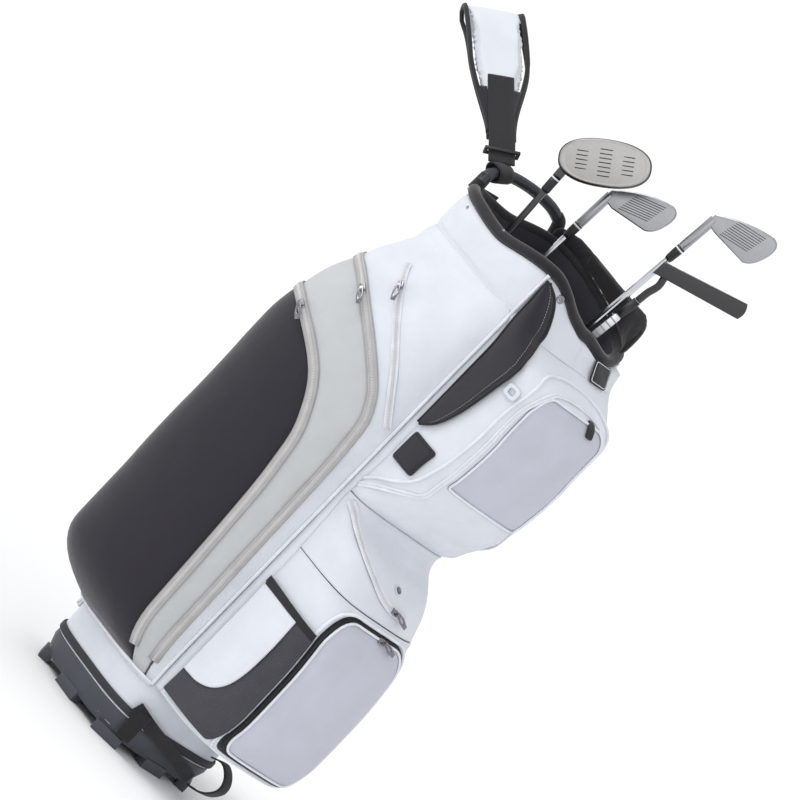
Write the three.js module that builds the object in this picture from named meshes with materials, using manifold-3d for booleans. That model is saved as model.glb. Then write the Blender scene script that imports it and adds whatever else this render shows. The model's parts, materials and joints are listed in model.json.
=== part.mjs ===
// Golf club set: a cart bag that stands upright on its moulded base, with a driver, a wedge, an iron and a
// putter in its wells. Millimetres, +Z up. The origin is the centre of the base's resting plane. +X is the
// front, where the ball and cooler pockets are, -X the spine with the strap, -Y the near side.
import * as THREE from 'three';
import { mergeVertices } from 'three/addons/utils/BufferGeometryUtils.js';
import Module from 'manifold-3d';

const wasm = await Module();
wasm.setup();

// ---------------------------------------------------------------- driving dimensions
const BASE_HALF = 118.4; // half width of the bag's squarish section at the base
const TOP_HALF = 129.3; // the same at the rim
const BASE_Z = 50;
const RIM_Z = 870;
const SQUARENESS = 3.6; // superellipse exponent of the section
const CORNER = 2 ** (-1 / SQUARENESS); // where the section's corner lies, as a part of its half width
const GAP = 0.4; // clearance between pieces that touch

const TRAY = { floor: 12, inside: 20, top: 44, wall: 4.6, bottomHalf: 112 };
const BAND = { above: 3, height: 11, gap: 0.6, thickness: 2.6 };
const FOOT = { width: 46, depth: 17, height: 16, spread: 107, corner: 90 };
const PAD_RADIUS = 30;
const TUBE_WALL = 3;
const TUBE_TOP = 803.6;
const CUFF_BOTTOM = 804;
const DIVIDER = { bottom: 764, top: 802, half: 124.6, wall: 4, bar: 3.5, row: 56 };
const WELL_WALLS = { spine: [-38, 38], middle: [-60, 0, 60], front: [-36, 36] };
const CUFF = { proud: 2.4, wall: 9, roll: 6 };
const HANDLE_RADIUS = 8.5;
const TRIM_RADIUS = 9;
const TRIM_HALF = 125.5;

const SPINE_PANEL = { half: 78, low: 78, high: 792, swell: 5, offset: 6 };
const FABRIC = 4; // thickness of a padded pocket wall
const SIDE = {
  depth: 84, // how far a side pocket bulges out of the bag
  offset: 6.8, // its outer face beyond the tube where it lies flat
  top: 785,
  shoulderFrom: 560,
  bellyTo: 190,
  bottom: 100,
};
const FRONT_POWER = 4; // superellipse exponent of the front pockets' plan
const FRONT_SET = 8; // the front module starts this far in front of the tube's corners
const FRONT_FLARE = 2;

const CLUB = {
  butt: 21.2, grip: 262, gripRadius: 13.2, gripTip: 9.4, shaftButt: 7.4, shaftTip: 4.6, wall: 0.9, hosel: 6.6,
};
const DRIVER = {
  length: 932, width: 62, height: 31, depth: 70, wall: 1.6, face: 2.6, neck: 48, rise: 60, set: 36,
};
const WEDGE = { length: 902, reach: 82, toe: 50, rise: 30, hosel: 56, face: -8 };
const IRON = { length: 985, reach: 84, toe: 52, rise: 22, hosel: 56, face: -6 };
const PUTTER = { length: 900, blade: 117, heel: -16, slope: 0.42, foot: 42, thickness: 13 };

// ---------------------------------------------------------------- materials
const material = (color, roughness, metalness = 0) => new THREE.MeshStandardMaterial(
  { color, roughness, metalness },
);
const MATERIAL = {
  whiteFabric: () => material(0xdfe3ec, 0.85),
  shadeFabric: () => material(0xc5c8d3, 0.8),
  blackFabric: () => material(0x3a3742, 0.9),
  greyFabric: () => material(0xc3c7c7, 0.85),
  mesh: () => material(0x4a4850, 0.95),
  webbing: () => material(0x232226, 0.95),
  tape: () => material(0xcfcbc9, 0.7),
  darkPlastic: () => material(0x3b3d45, 0.55),
  blackPlastic: () => material(0x1f1f22, 0.5),
  gunmetal: () => material(0x8a8a8f, 0.3, 1),
  steel: () => material(0xc9ccd0, 0.22, 1),
  titanium: () => material(0x9c9a98, 0.35, 1),
  blackMetal: () => material(0x1d1d20, 0.4, 0.6),
  graphite: () => material(0x26262a, 0.35),
  rubber: () => material(0x1b1b1c, 0.9),
};

// ---------------------------------------------------------------- solids
const V = (x, y, z) => new THREE.Vector3(x, y, z);

/** A closed geometry from points and triangles, turned so that its faces point out. */
function solid(points, triangles) {
  let volume = 0;
  for (const [a, b, c] of triangles) {
    volume += points[a].dot(points[b].clone().cross(points[c]));
  }
  const faces = volume < 0 ? triangles.map(([a, b, c]) => [a, c, b]) : triangles;
  const geometry = new THREE.BufferGeometry();
  const flat = points.flatMap((point) => point.toArray());
  geometry.setAttribute('position', new THREE.Float32BufferAttribute(flat, 3));
  geometry.setIndex(faces.flat());
  return geometry;
}

/** Joins a stack of equal rings. A closed loft meets itself, and an open one is capped at both ends. */
function loft(rings, closed = false) {
  const count = rings[0].length;
  const points = rings.flat();
  const triangles = [];
  const spans = closed ? rings.length : rings.length - 1;
  for (let i = 0; i < spans; i += 1) {
    const low = i * count;
    const high = ((i + 1) % rings.length) * count;
    for (let j = 0; j < count; j += 1) {
      const next = (j + 1) % count;
      triangles.push([low + j, low + next, high + next], [low + j, high + next, high + j]);
    }
  }
  if (!closed) {
    const last = (rings.length - 1) * count;
    const ends = [rings[0], rings[rings.length - 1]].map(
      (ring) => ring.reduce((sum, point) => sum.add(point), V(0, 0, 0)).divideScalar(count),
    );
    points.push(...ends);
    for (let j = 0; j < count; j += 1) {
      const next = (j + 1) % count;
      triangles.push([rings.length * count, next, j]);
      triangles.push([rings.length * count + 1, last + j, last + next]);
    }
  }
  return solid(points, triangles);
}

/**
 * A curved sheet of even thickness. pointAt(i, j) gives the outer face at grid corner i, j. Cells that keep
 * refuses are left out, so a window needs no boolean.
 */
function sheet(pointAt, columns, rows, thickness, keep = () => true) {
  const index = (i, j) => i * (rows + 1) + j;
  const outer = [];
  for (let i = 0; i <= columns; i += 1) {
    for (let j = 0; j <= rows; j += 1) {
      outer.push(pointAt(i, j));
    }
  }
  const at = (i, j) => outer[index(Math.min(Math.max(i, 0), columns), Math.min(Math.max(j, 0), rows))];
  const normalAt = (i, j) => {
    const along = at(i + 1, j).clone().sub(at(i - 1, j));
    const up = at(i, j + 1).clone().sub(at(i, j - 1));
    return along.cross(up).normalize();
  };
  const middle = [Math.round(columns / 2), Math.round(rows / 2)];
  const centre = at(...middle);
  const side = Math.sign(normalAt(...middle).dot(V(centre.x, centre.y, 0)));
  const inner = outer.map((point, k) => {
    const normal = normalAt(Math.floor(k / (rows + 1)), k % (rows + 1));
    return point.clone().addScaledVector(normal, -side * thickness);
  });
  const size = outer.length;
  const used = (i, j) => i >= 0 && j >= 0 && i < columns && j < rows && keep(i, j);
  const triangles = [];
  const quad = (a, b, c, d) => triangles.push([a, b, c], [a, c, d]);
  for (let i = 0; i < columns; i += 1) {
    for (let j = 0; j < rows; j += 1) {
      if (used(i, j)) {
        const [a, b, c, d] = [index(i, j), index(i + 1, j), index(i + 1, j + 1), index(i, j + 1)];
        quad(a, b, c, d);
        quad(size + d, size + c, size + b, size + a);
        if (!used(i, j - 1)) quad(b, a, size + a, size + b);
        if (!used(i + 1, j)) quad(c, b, size + b, size + c);
        if (!used(i, j + 1)) quad(d, c, size + c, size + d);
        if (!used(i - 1, j)) quad(a, d, size + d, size + a);
      }
    }
  }
  const corners = [...new Set(triangles.flat())];
  const renamed = new Map(corners.map((corner, k) => [corner, k]));
  const points = [...outer, ...inner];
  const faces = triangles.map((face) => face.map((k) => renamed.get(k)));
  return solid(corners.map((corner) => points[corner]), faces);
}

/** A flat band along frames of point, tangent and normal: webbing, tape or a strap. */
function ribbon(frames, width, thickness, lift = 0) {
  return loft(frames.map(({ point, tangent, normal }) => {
    const side = tangent.clone().cross(normal).normalize().multiplyScalar(width / 2);
    const low = point.clone().addScaledVector(normal, lift);
    const high = point.clone().addScaledVector(normal, lift + thickness);
    return [low.clone().add(side), high.clone().add(side), high.clone().sub(side), low.clone().sub(side)];
  }));
}

/** Frames along a curve whose broad side faces away from facing(point). */
function framesAlong(curve, steps, facing) {
  return Array.from({ length: steps + 1 }, (_, k) => {
    const point = curve.getPoint(k / steps);
    const tangent = curve.getTangent(k / steps);
    const normal = facing(point, k / steps).clone();
    normal.addScaledVector(tangent, -normal.dot(tangent)).normalize();
    return { point, tangent, normal };
  });
}

/** A round bar along a curve. */
function bar(curve, radius, steps, arcs = 5) {
  const section = new THREE.Shape();
  section.absarc(0, 0, radius, 0, Math.PI * 2);
  return new THREE.ExtrudeGeometry(
    section, { extrudePath: curve, steps, curveSegments: arcs, bevelEnabled: false },
  );
}

/** A turned solid about Z from [radius, height] pairs. */
function turned(profile, sides = 20) {
  const lathe = new THREE.LatheGeometry(profile.map(([r, z]) => new THREE.Vector2(r, z)), sides);
  return lathe.rotateX(Math.PI / 2);
}

function toManifold(geometry) {
  const bare = geometry.clone();
  bare.deleteAttribute('normal');
  bare.deleteAttribute('uv');
  const merged = mergeVertices(bare, 1e-4);
  const vertProperties = Float32Array.from(merged.attributes.position.array);
  const triVerts = Uint32Array.from(merged.index.array);
  return new wasm.Manifold(new wasm.Mesh({ numProp: 3, vertProperties, triVerts }));
}

function fromManifold(piece) {
  const { vertProperties, triVerts } = piece.getMesh();
  const geometry = new THREE.BufferGeometry();
  geometry.setAttribute('position', new THREE.Float32BufferAttribute(vertProperties, 3));
  geometry.setIndex(Array.from(triVerts));
  return geometry;
}

const join = (...parts) => fromManifold(parts.map(toManifold).reduce((whole, part) => whole.add(part)));
const box = (x, y, z, at = V(0, 0, 0)) => new THREE.BoxGeometry(x, y, z).translate(at.x, at.y, at.z);

/** An upright rod from one height to another. */
const rod = (radius, from, to, sides = 16) => {
  const cylinder = new THREE.CylinderGeometry(radius, radius, to - from, sides);
  return cylinder.rotateX(Math.PI / 2).translate(0, 0, (from + to) / 2);
};

// ---------------------------------------------------------------- the bag's surfaces
const mix = THREE.MathUtils.lerp;
const rad = THREE.MathUtils.degToRad;

/** Half width of the tube at a height. */
const halfAt = (z) => mix(BASE_HALF, TOP_HALF, (z - BASE_Z) / (RIM_Z - BASE_Z));

/** A point of the superellipse with this half width, at a true angle in plan. */
function section(half, angle, z) {
  const [c, s] = [Math.cos(angle), Math.sin(angle)];
  const r = half / (Math.abs(c) ** SQUARENESS + Math.abs(s) ** SQUARENESS) ** (1 / SQUARENESS);
  return V(r * c, r * s, z);
}

function sectionRing(half, height, sides = 40) {
  return Array.from({ length: sides }, (_, k) => {
    const angle = (k / sides) * Math.PI * 2;
    return section(half, angle, typeof height === 'function' ? height(angle) : height);
  });
}

/** Smooth value through [key, value] knots that never overshoots them. */
function through(knots, key) {
  const k = Math.min(Math.max(knots.findIndex(([at]) => at >= key), 1), knots.length - 1);
  const slope = (i) => (knots[i + 1][1] - knots[i][1]) / (knots[i + 1][0] - knots[i][0]);
  const tangent = (i) => {
    if (i === 0 || i === knots.length - 1) return 0;
    const [before, after] = [slope(i - 1), slope(i)];
    return before * after <= 0 ? 0 : (2 * before * after) / (before + after);
  };
  const [[x0, y0], [x1, y1]] = [knots[k - 1], knots[k]];
  const t = THREE.MathUtils.clamp((key - x0) / (x1 - x0), 0, 1);
  const width = x1 - x0;
  const start = (1 + 2 * t) * (1 - t) ** 2 * y0 + t * (1 - t) ** 2 * width * tangent(k - 1);
  return start + t * t * (3 - 2 * t) * y1 + t * t * (t - 1) * width * tangent(k);
}

/** Height of the rolled rim's centre line, by angle in plan from +X. */
const RIM_KNOTS = [
  [0, 842], [30, 829], [48, 842], [90, 866], [135, 876], [180, 862], [225, 869], [270, 862], [315, 881],
  [345, 851], [360, 842],
];
const rimAt = (angle) => through(RIM_KNOTS, (THREE.MathUtils.radToDeg(angle) + 360) % 360);

/** How far a side pocket stands out, by height: a rounded underside and a long sloping shoulder. */
function sideDepth(z) {
  const { shoulderFrom, bellyTo } = SIDE;
  const shoulder = THREE.MathUtils.clamp((z - shoulderFrom) / (SIDE.top - shoulderFrom), 0, 1) ** 1.8;
  const belly = THREE.MathUtils.clamp((bellyTo - z) / (bellyTo - SIDE.bottom), 0, 1) ** 2.5;
  return SIDE.depth * (1 - shoulder) * (1 - belly);
}

/** The near side pocket's outer face. s runs from the spine corner, 0, to the front corner, 1. */
function sidePoint(s, z, lift = 0) {
  const flat = section(halfAt(z) + SIDE.offset + lift, rad(mix(-135, -45, s)), z);
  const bulge = (sideDepth(z) + lift) * Math.sin(Math.PI * s ** 0.6);
  return V(flat.x - bulge * (1 - s) ** 1.1, flat.y - bulge, z);
}

/** How far the front module stands in front of the tube's corners, by height. */
const FRONT_KNOTS = [
  [104, 118], [112, 134], [124, 148], [145, 158], [170, 162], [250, 160], [300, 154], [330, 147], [350, 136],
  [362, 128], [376.6, 122], [378.4, 120], [390, 114], [411, 102], [431, 80], [452, 46], [465, 34], [472, 32],
  [479, 36], [486, 46], [493, 58], [513, 73], [534, 92], [554, 105], [575, 108], [600, 115], [660, 121],
  [700, 119], [738, 119], [759, 110], [780, 74], [792, 55], [803, 40], [825, 28], [845, 17], [868, 2],
  [880, 0],
];

/** The front module's outer face. turn runs from -90 at the near corner seam to 90 at the far one. */
function frontPoint(turn, z, lift = 0) {
  const corner = CORNER * halfAt(z);
  const [c, s] = [Math.cos(rad(turn)), Math.sin(rad(turn))];
  const r = (Math.abs(c) ** FRONT_POWER + Math.abs(s) ** FRONT_POWER) ** (-1 / FRONT_POWER);
  const depth = through(FRONT_KNOTS, z) + lift;
  return V(corner + FRONT_SET + depth * r * c, (corner + FRONT_FLARE + lift) * r * s, z);
}

/** Outward normal of a surface given as surface(u, z). */
function normalOn(surface, u, z, du, dz = 1) {
  const along = surface(u + du, z).sub(surface(u - du, z));
  const up = surface(u, z + dz).sub(surface(u, z - dz));
  const normal = along.cross(up).normalize();
  const here = surface(u, z);
  return normal.dot(V(here.x, here.y, 0)) < 0 ? normal.negate() : normal;
}

/** Corner i, j of a panel between two seams, each a curve of (u, height) on one surface. */
const between = (surface, first, second, columns, rows) => (i, j) => {
  const from = first.getPoint(j / rows);
  const to = second.getPoint(j / rows);
  const at = from.lerp(to, i / columns);
  return surface(at.x, at.y);
};

const seam = (...points) => new THREE.SplineCurve(points.map(([u, z]) => new THREE.Vector2(u, z)));

/** Frames along a seam on a surface. */
function framesOn(surface, curve, steps, du, from = 0, to = 1) {
  const at = (t) => curve.getPoint(THREE.MathUtils.clamp(t, 0, 1));
  return Array.from({ length: steps + 1 }, (_, k) => {
    const t = mix(from, to, k / steps);
    const here = at(t);
    const ahead = at(t + 0.01);
    const behind = at(t - 0.01);
    const tangent = surface(ahead.x, ahead.y).sub(surface(behind.x, behind.y)).normalize();
    return { point: surface(here.x, here.y), tangent, normal: normalOn(surface, here.x, here.y, du) };
  });
}

// ---------------------------------------------------------------- scene helpers
const set = new THREE.Group();

function add(name, geometry, finish, parent = set) {
  const mesh = new THREE.Mesh(geometry, finish());
  mesh.name = name;
  parent.add(mesh);
  return mesh;
}

/** A group at a point whose Z follows up and whose Y follows forward as nearly as it can. */
function placed(point, up, forward, parent = set) {
  const z = up.clone().normalize();
  const x = forward.clone().cross(z).normalize();
  const y = z.clone().cross(x);
  const group = new THREE.Group();
  group.position.copy(point);
  group.quaternion.setFromRotationMatrix(new THREE.Matrix4().makeBasis(x, y, z));
  parent.add(group);
  return group;
}

const mirrored = (geometry) => {
  const flipped = geometry.clone().scale(1, -1, 1);
  const order = flipped.index.array;
  for (let k = 0; k < order.length; k += 3) {
    [order[k + 1], order[k + 2]] = [order[k + 2], order[k + 1]];
  }
  return flipped;
};

// ---------------------------------------------------------------- frame of the bag
function baseTray() {
  const rimHalf = BASE_HALF + 0.8;
  const rings = [
    sectionRing(TRAY.bottomHalf, TRAY.floor),
    sectionRing(rimHalf, TRAY.top - 8),
    sectionRing(rimHalf, TRAY.top),
    sectionRing(rimHalf - TRAY.wall, TRAY.top),
    sectionRing(rimHalf - TRAY.wall, TRAY.inside),
  ];
  const feet = Array.from({ length: 8 }, (_, k) => {
    const angle = (k * Math.PI) / 4;
    const reach = k % 2 ? FOOT.corner * Math.SQRT2 : FOOT.spread;
    const foot = box(FOOT.depth, FOOT.width, FOOT.height, V(reach, 0, FOOT.height / 2));
    return foot.rotateZ(angle);
  });
  const pad = rod(PAD_RADIUS, 0, TRAY.floor + 1, 24);
  add('base_tray', join(loft(rings), ...feet, pad), MATERIAL.darkPlastic);
}

function baseBand() {
  const [bottom, top] = [TRAY.top + BAND.above, TRAY.top + BAND.above + BAND.height];
  const inner = halfAt(top) + BAND.gap;
  const rings = [
    sectionRing(inner, bottom),
    sectionRing(inner + BAND.thickness, bottom),
    sectionRing(inner + BAND.thickness, top),
    sectionRing(inner, top),
  ];
  add('base_band', loft(rings, true), MATERIAL.rubber);
}

function mainTube() {
  const inset = BASE_HALF + 0.8 - TRAY.wall - 0.6;
  const shoulder = TRAY.top + GAP;
  const rings = [
    sectionRing(inset, TRAY.inside + GAP),
    sectionRing(inset, shoulder),
    sectionRing(halfAt(shoulder), shoulder),
    sectionRing(halfAt(TUBE_TOP), TUBE_TOP),
    sectionRing(halfAt(TUBE_TOP) - TUBE_WALL, TUBE_TOP),
    sectionRing(inset - TUBE_WALL, shoulder + 8),
    sectionRing(inset - TUBE_WALL, TRAY.inside + GAP),
  ];
  add('main_tube', loft(rings, true), MATERIAL.whiteFabric);
}

/** Fourteen wells: rows of three, four, four and three, from the spine to the front. */
function wellDivider() {
  const height = DIVIDER.top - DIVIDER.bottom;
  const middle = (DIVIDER.top + DIVIDER.bottom) / 2;
  const ring = loft([
    sectionRing(DIVIDER.half, DIVIDER.bottom),
    sectionRing(DIVIDER.half, DIVIDER.top),
    sectionRing(DIVIDER.half - DIVIDER.wall, DIVIDER.top),
    sectionRing(DIVIDER.half - DIVIDER.wall, DIVIDER.bottom),
  ], true);
  const inWall = DIVIDER.half - DIVIDER.wall / 2;
  const reachAt = (offset) => inWall * (1 - (Math.abs(offset) / inWall) ** SQUARENESS) ** (1 / SQUARENESS);
  const crossBars = [-1, 0, 1].map(
    (k) => box(DIVIDER.bar, reachAt(DIVIDER.row) * 2, height - 1, V(k * DIVIDER.row, 0, middle)),
  );
  const walls = [-1.5, -0.5, 0.5, 1.5].flatMap((row) => {
    const outerRow = Math.abs(row) > 1;
    const outerWalls = row < 0 ? WELL_WALLS.spine : WELL_WALLS.front;
    return (outerRow ? outerWalls : WELL_WALLS.middle).map((y) => {
      const end = outerRow ? reachAt(y) : DIVIDER.row;
      const start = outerRow ? DIVIDER.row : 0;
      return box(end - start, DIVIDER.bar, height - 1, V((Math.sign(row) * (end + start)) / 2, y, middle));
    });
  });
  add('well_divider', join(ring, ...crossBars, ...walls), MATERIAL.blackPlastic);
}

/** A ring of the cuff: the bag's section, filled out in front to carry on the front module's slope. */
function cuffRing(height) {
  return sectionRing(TOP_HALF + CUFF.proud, height).map((point) => {
    const corner = CORNER * halfAt(point.z);
    const across = Math.abs(point.y) / (corner + FRONT_FLARE);
    if (point.x < 0 || across > 1) return point;
    const reach = through(FRONT_KNOTS, point.z) * (1 - across ** FRONT_POWER) ** (1 / FRONT_POWER);
    return V(Math.max(point.x, corner + FRONT_SET + reach), point.y, point.z);
  });
}

function topCuff() {
  const edge = (angle) => rimAt(angle) - TRIM_RADIUS - 0.6;
  const rings = [
    sectionRing(TOP_HALF - 0.8, CUFF_BOTTOM),
    cuffRing(CUFF_BOTTOM + CUFF.roll),
    cuffRing((angle) => mix(CUFF_BOTTOM, edge(angle), 0.4)),
    cuffRing((angle) => mix(CUFF_BOTTOM, edge(angle), 0.75)),
    sectionRing(TOP_HALF, edge),
    sectionRing(TOP_HALF - CUFF.wall, edge),
    sectionRing(TOP_HALF - CUFF.wall, CUFF_BOTTOM),
  ];
  add('top_cuff', loft(rings, true), MATERIAL.whiteFabric);
}

function rimTrim() {
  const rings = Array.from({ length: 8 }, (_, k) => {
    const turn = (k * Math.PI) / 4;
    const half = TRIM_HALF + TRIM_RADIUS * Math.cos(turn);
    return sectionRing(half, (angle) => rimAt(angle) + TRIM_RADIUS * Math.sin(turn));
  });
  add('rim_trim', loft(rings, true), MATERIAL.blackFabric);
}

/** The raised padded lip along the far side of the mouth. */
function farLip() {
  const [columns, top] = [14, 906];
  const ring = (k) => {
    const angle = rad(mix(146, 42, k / columns));
    const foot = rimAt(angle) + TRIM_RADIUS + 0.8;
    return [
      section(TRIM_HALF - 7, angle, foot),
      section(TRIM_HALF + 6, angle, foot),
      section(TRIM_HALF + 5, angle, top - 3),
      section(TRIM_HALF - 6, angle, top),
    ];
  };
  add('far_lip', loft(Array.from({ length: columns + 1 }, (_, k) => ring(k))), MATERIAL.blackFabric);
}

/** The moulded lift handle that bridges the spine side of the mouth. */
function liftHandle() {
  const path = new THREE.CatmullRomCurve3([
    V(-117, -91, rimAt(rad(218)) + TRIM_RADIUS + 2.2),
    V(-120, -88, rimAt(rad(218)) + TRIM_RADIUS + 12),
    V(-129, -73, 897),
    V(-136, -40, 906),
    V(-139, 0, 910),
    V(-138, 38, 910),
    V(-135, 72, 906),
    V(-132, 97, 897),
  ]);
  add('lift_handle', bar(path, HANDLE_RADIUS, 18), MATERIAL.darkPlastic);
}

/** The padded panel down the spine. */
function spinePanel() {
  const [columns, rows] = [8, 10];
  const { half, low, high, swell, offset } = SPINE_PANEL;
  const point = (i, j) => {
    const [across, up] = [(2 * i) / columns - 1, (2 * j) / rows - 1];
    const z = mix(low, high, j / rows);
    const crown = swell * (1 - 0.9 * across ** 4) * (1 - 0.95 * up ** 6);
    return V(-halfAt(z) - offset - crown, across * half, z);
  };
  add('spine_panel', sheet(point, columns, rows, FABRIC), MATERIAL.whiteFabric);
}

// ---------------------------------------------------------------- side pockets
const INNER_SEAM = seam(
  [0.03, 619], [0.3, 611], [0.57, 568], [0.7, 505], [0.745, 436], [0.77, 330], [0.8, 104],
);
const OUTER_SEAM = seam(
  [0.03, 704], [0.3, 694], [0.55, 661], [0.74, 621], [0.85, 580], [0.888, 520], [0.905, 330], [0.92, 104],
);
const BORDER = seam(
  [0.0, 786], [0.45, 788], [0.8, 788], [0.95, 782], [0.985, 696], [0.985, 560], [0.985, 330], [0.985, 102],
);
const SLASH_SEAM = seam([0.36, 744], [0.577, 702], [0.79, 646], [0.955, 575]);
const SPINE_EDGE = seam([0.0, 606], [0.0, 480], [0.0, 330], [0.0, 104]);
const SEAM_GAP = 0.006;
const SIDE_ROWS = 14;
const SIDE_STEP = 0.01; // how far along the surface its slope is taken
const TAPE = { width: 13, thickness: 1.4, lift: 2 };

/** The same seam, moved along the surface and up, to leave room for its neighbour. */
const shifted = (curve, ds, dz) => new THREE.SplineCurve(
  curve.points.map((point) => new THREE.Vector2(point.x + ds, point.y + dz)),
);

function sidePockets() {
  const panel = (first, second, columns) => sheet(
    between(sidePoint, first, second, columns, SIDE_ROWS), columns, SIDE_ROWS, FABRIC,
  );
  const before = (curve) => shifted(curve, -SEAM_GAP, -2);
  const after = (curve) => shifted(curve, SEAM_GAP, 2);
  const face = panel(SPINE_EDGE, before(INNER_SEAM), 9);
  const gusset = panel(after(INNER_SEAM), before(OUTER_SEAM), 3);
  const shoulder = panel(after(OUTER_SEAM), BORDER, 3);
  add('near_pocket_face', face, MATERIAL.blackFabric);
  add('near_pocket_gusset', gusset, MATERIAL.greyFabric);
  add('near_pocket_shoulder', shoulder, MATERIAL.whiteFabric);
  add('far_pocket_face', mirrored(face), MATERIAL.blackFabric);
  add('far_pocket_gusset', mirrored(gusset), MATERIAL.greyFabric);
  add('far_pocket_shoulder', mirrored(shoulder), MATERIAL.whiteFabric);
  const zips = {
    near_zip_lower: [INNER_SEAM, 0.05, 0.97],
    near_zip_upper: [OUTER_SEAM, 0.05, 0.97],
    near_zip_slash: [SLASH_SEAM, 0, 1],
  };
  for (const [name, [curve, from, to]] of Object.entries(zips)) {
    const frames = framesOn(sidePoint, curve, 22, SIDE_STEP, from, to);
    add(name, ribbon(frames, TAPE.width, TAPE.thickness, TAPE.lift), MATERIAL.tape);
  }
}

// ---------------------------------------------------------------- front pockets
const FRONT_TURN = 86;
const FACE_TURN = 39.5;
const FRONT_STEP = 0.5;

/** Evenly spaced values in one or more runs, each without its last value. */
const lines = (...runs) => runs.flatMap(
  ([from, to, count]) => Array.from({ length: count }, (_, k) => mix(from, to, k / count)),
);

/** A wall of the front module on lines of turn and height, without the cells of its window. */
function frontWall(turns, heights, window) {
  const inside = (i, j) => window
    && turns[i] >= window.turn[0] - 0.01 && turns[i + 1] <= window.turn[1] + 0.01
    && heights[j] >= window.z[0] - 0.01 && heights[j + 1] <= window.z[1] + 0.01;
  const pointAt = (i, j) => frontPoint(turns[i], heights[j]);
  return sheet(pointAt, turns.length - 1, heights.length - 1, FABRIC, (i, j) => !inside(i, j));
}

/** Lines of turn across the whole front, with a finer run over its face. */
const turnsAcross = (face) => [
  ...lines([-FRONT_TURN, -face, 5], [-face, face, 8], [face, FRONT_TURN, 5]), FRONT_TURN,
];
const FACE_TURNS = [...lines([-FACE_TURN + 0.8, FACE_TURN - 0.8, 8]), FACE_TURN - 0.8];

function upperPocket() {
  const window = { turn: [-FACE_TURN, FACE_TURN], z: [579, 764] };
  const heights = [
    480.5, 487, 495, 513, 534, 554, 579, 600, 625, 671, 718, 744, 764, 773, 781, 788, 795, 802.5,
  ];
  add('upper_pocket_shell', frontWall(turnsAcross(FACE_TURN), heights, window), MATERIAL.whiteFabric);
  const face = frontWall(FACE_TURNS, [580.5, 600, 625, 671, 718, 744, 762.5]);
  add('upper_pocket_face', face, MATERIAL.shadeFabric);
}

const MID_SEAM = seam([-62, 472], [-50, 462], [-36, 432], [-18, 410], [0, 400], [18, 398]);

function midPocket() {
  const heights = [378.5, 390, 402, 416, 431, 444, 456, 468, 479.5];
  add('mid_pocket', frontWall(turnsAcross(FACE_TURN), heights), MATERIAL.shadeFabric);
  const frames = framesOn(frontPoint, MID_SEAM, 20, FRONT_STEP);
  add('mid_zip', ribbon(frames, 11, TAPE.thickness, 2.4), MATERIAL.whiteFabric);
}

const COOLER = { turn: 44.5, low: 111, high: 369, tape: 3.4, skin: 2.6, inset: 2 };
const COOLER_ROWS = [129, 148, 174, 210, 250, 300, 330, 349];

/** An outline of the front module at a height, pulled in by inset, as a closed flat shape. */
function frontOutline(z, inset) {
  const turns = [...lines([-FRONT_TURN, FRONT_TURN, 24]), FRONT_TURN];
  const arc = turns.map((turn) => frontPoint(turn, z, -inset));
  const back = halfAt(z) + 2;
  const corners = [V(back, arc[arc.length - 1].y - 12, z), V(back, arc[0].y + 12, z)];
  return new THREE.Shape([...arc, ...corners].map(({ x, y }) => new THREE.Vector2(x, y)));
}

/** A flat floor or ceiling inside the front module. */
const deck = (z, { skin, inset }) => new THREE.ExtrudeGeometry(
  frontOutline(z, inset), { depth: skin, bevelEnabled: false },
).translate(0, 0, z - skin / 2);

function cooler() {
  const { turn, low, high, tape } = COOLER;
  const heights = [104, low, ...COOLER_ROWS, high, 377.5];
  const wall = frontWall(turnsAcross(turn), heights, { turn: [-turn, turn], z: [low, high] });
  const shell = join(wall, deck(107.6, COOLER), deck(374.5, COOLER));
  add('cooler_shell', shell, MATERIAL.whiteFabric);
  const inner = { turn: [-turn + tape, turn], z: [low + 8, high - 6] };
  const tapeTurns = [-turn + 0.8, ...lines([inner.turn[0], turn - 0.8, 7]), turn - 0.8];
  const tapeHeights = [low + 1.2, inner.z[0], ...COOLER_ROWS, inner.z[1], high - 1.4];
  add('cooler_zip', frontWall(tapeTurns, tapeHeights, inner), MATERIAL.webbing);
  const lidTurns = [...lines([inner.turn[0] + 0.8, turn - 1.2, 8]), turn - 1.2];
  const lidHeights = [inner.z[0] + 1, ...COOLER_ROWS, inner.z[1] - 1.2];
  add('cooler_lid', frontWall(lidTurns, lidHeights), MATERIAL.shadeFabric);
}

/** A small panel laid over a surface between two seams. */
const overlay = (surface, lift, first, second, columns, rows, thickness) => sheet(
  between((turn, z) => surface(turn, z, lift), first, second, columns, rows), columns, rows, thickness,
);

/** A flat sewn loop on the near side of the front module. */
function towelLoop() {
  const [turn, z] = [-54, 733];
  const outline = new THREE.Shape();
  outline.absellipse(0, 0, 8, 6.5, 0, Math.PI * 2);
  const slot = new THREE.Path();
  slot.absellipse(0, 0, 4.6, 3.2, 0, Math.PI * 2);
  outline.holes.push(slot);
  const plate = new THREE.ExtrudeGeometry(outline, { depth: 2.4, bevelEnabled: false, curveSegments: 5 });
  const at = placed(frontPoint(turn, z, 1.2), normalOn(frontPoint, turn, z, FRONT_STEP), V(0, 0, 1));
  at.updateMatrix();
  at.removeFromParent();
  return plate.applyMatrix4(at.matrix);
}

const MOON = { lift: 6.5, thickness: 3, rows: 28 };

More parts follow.
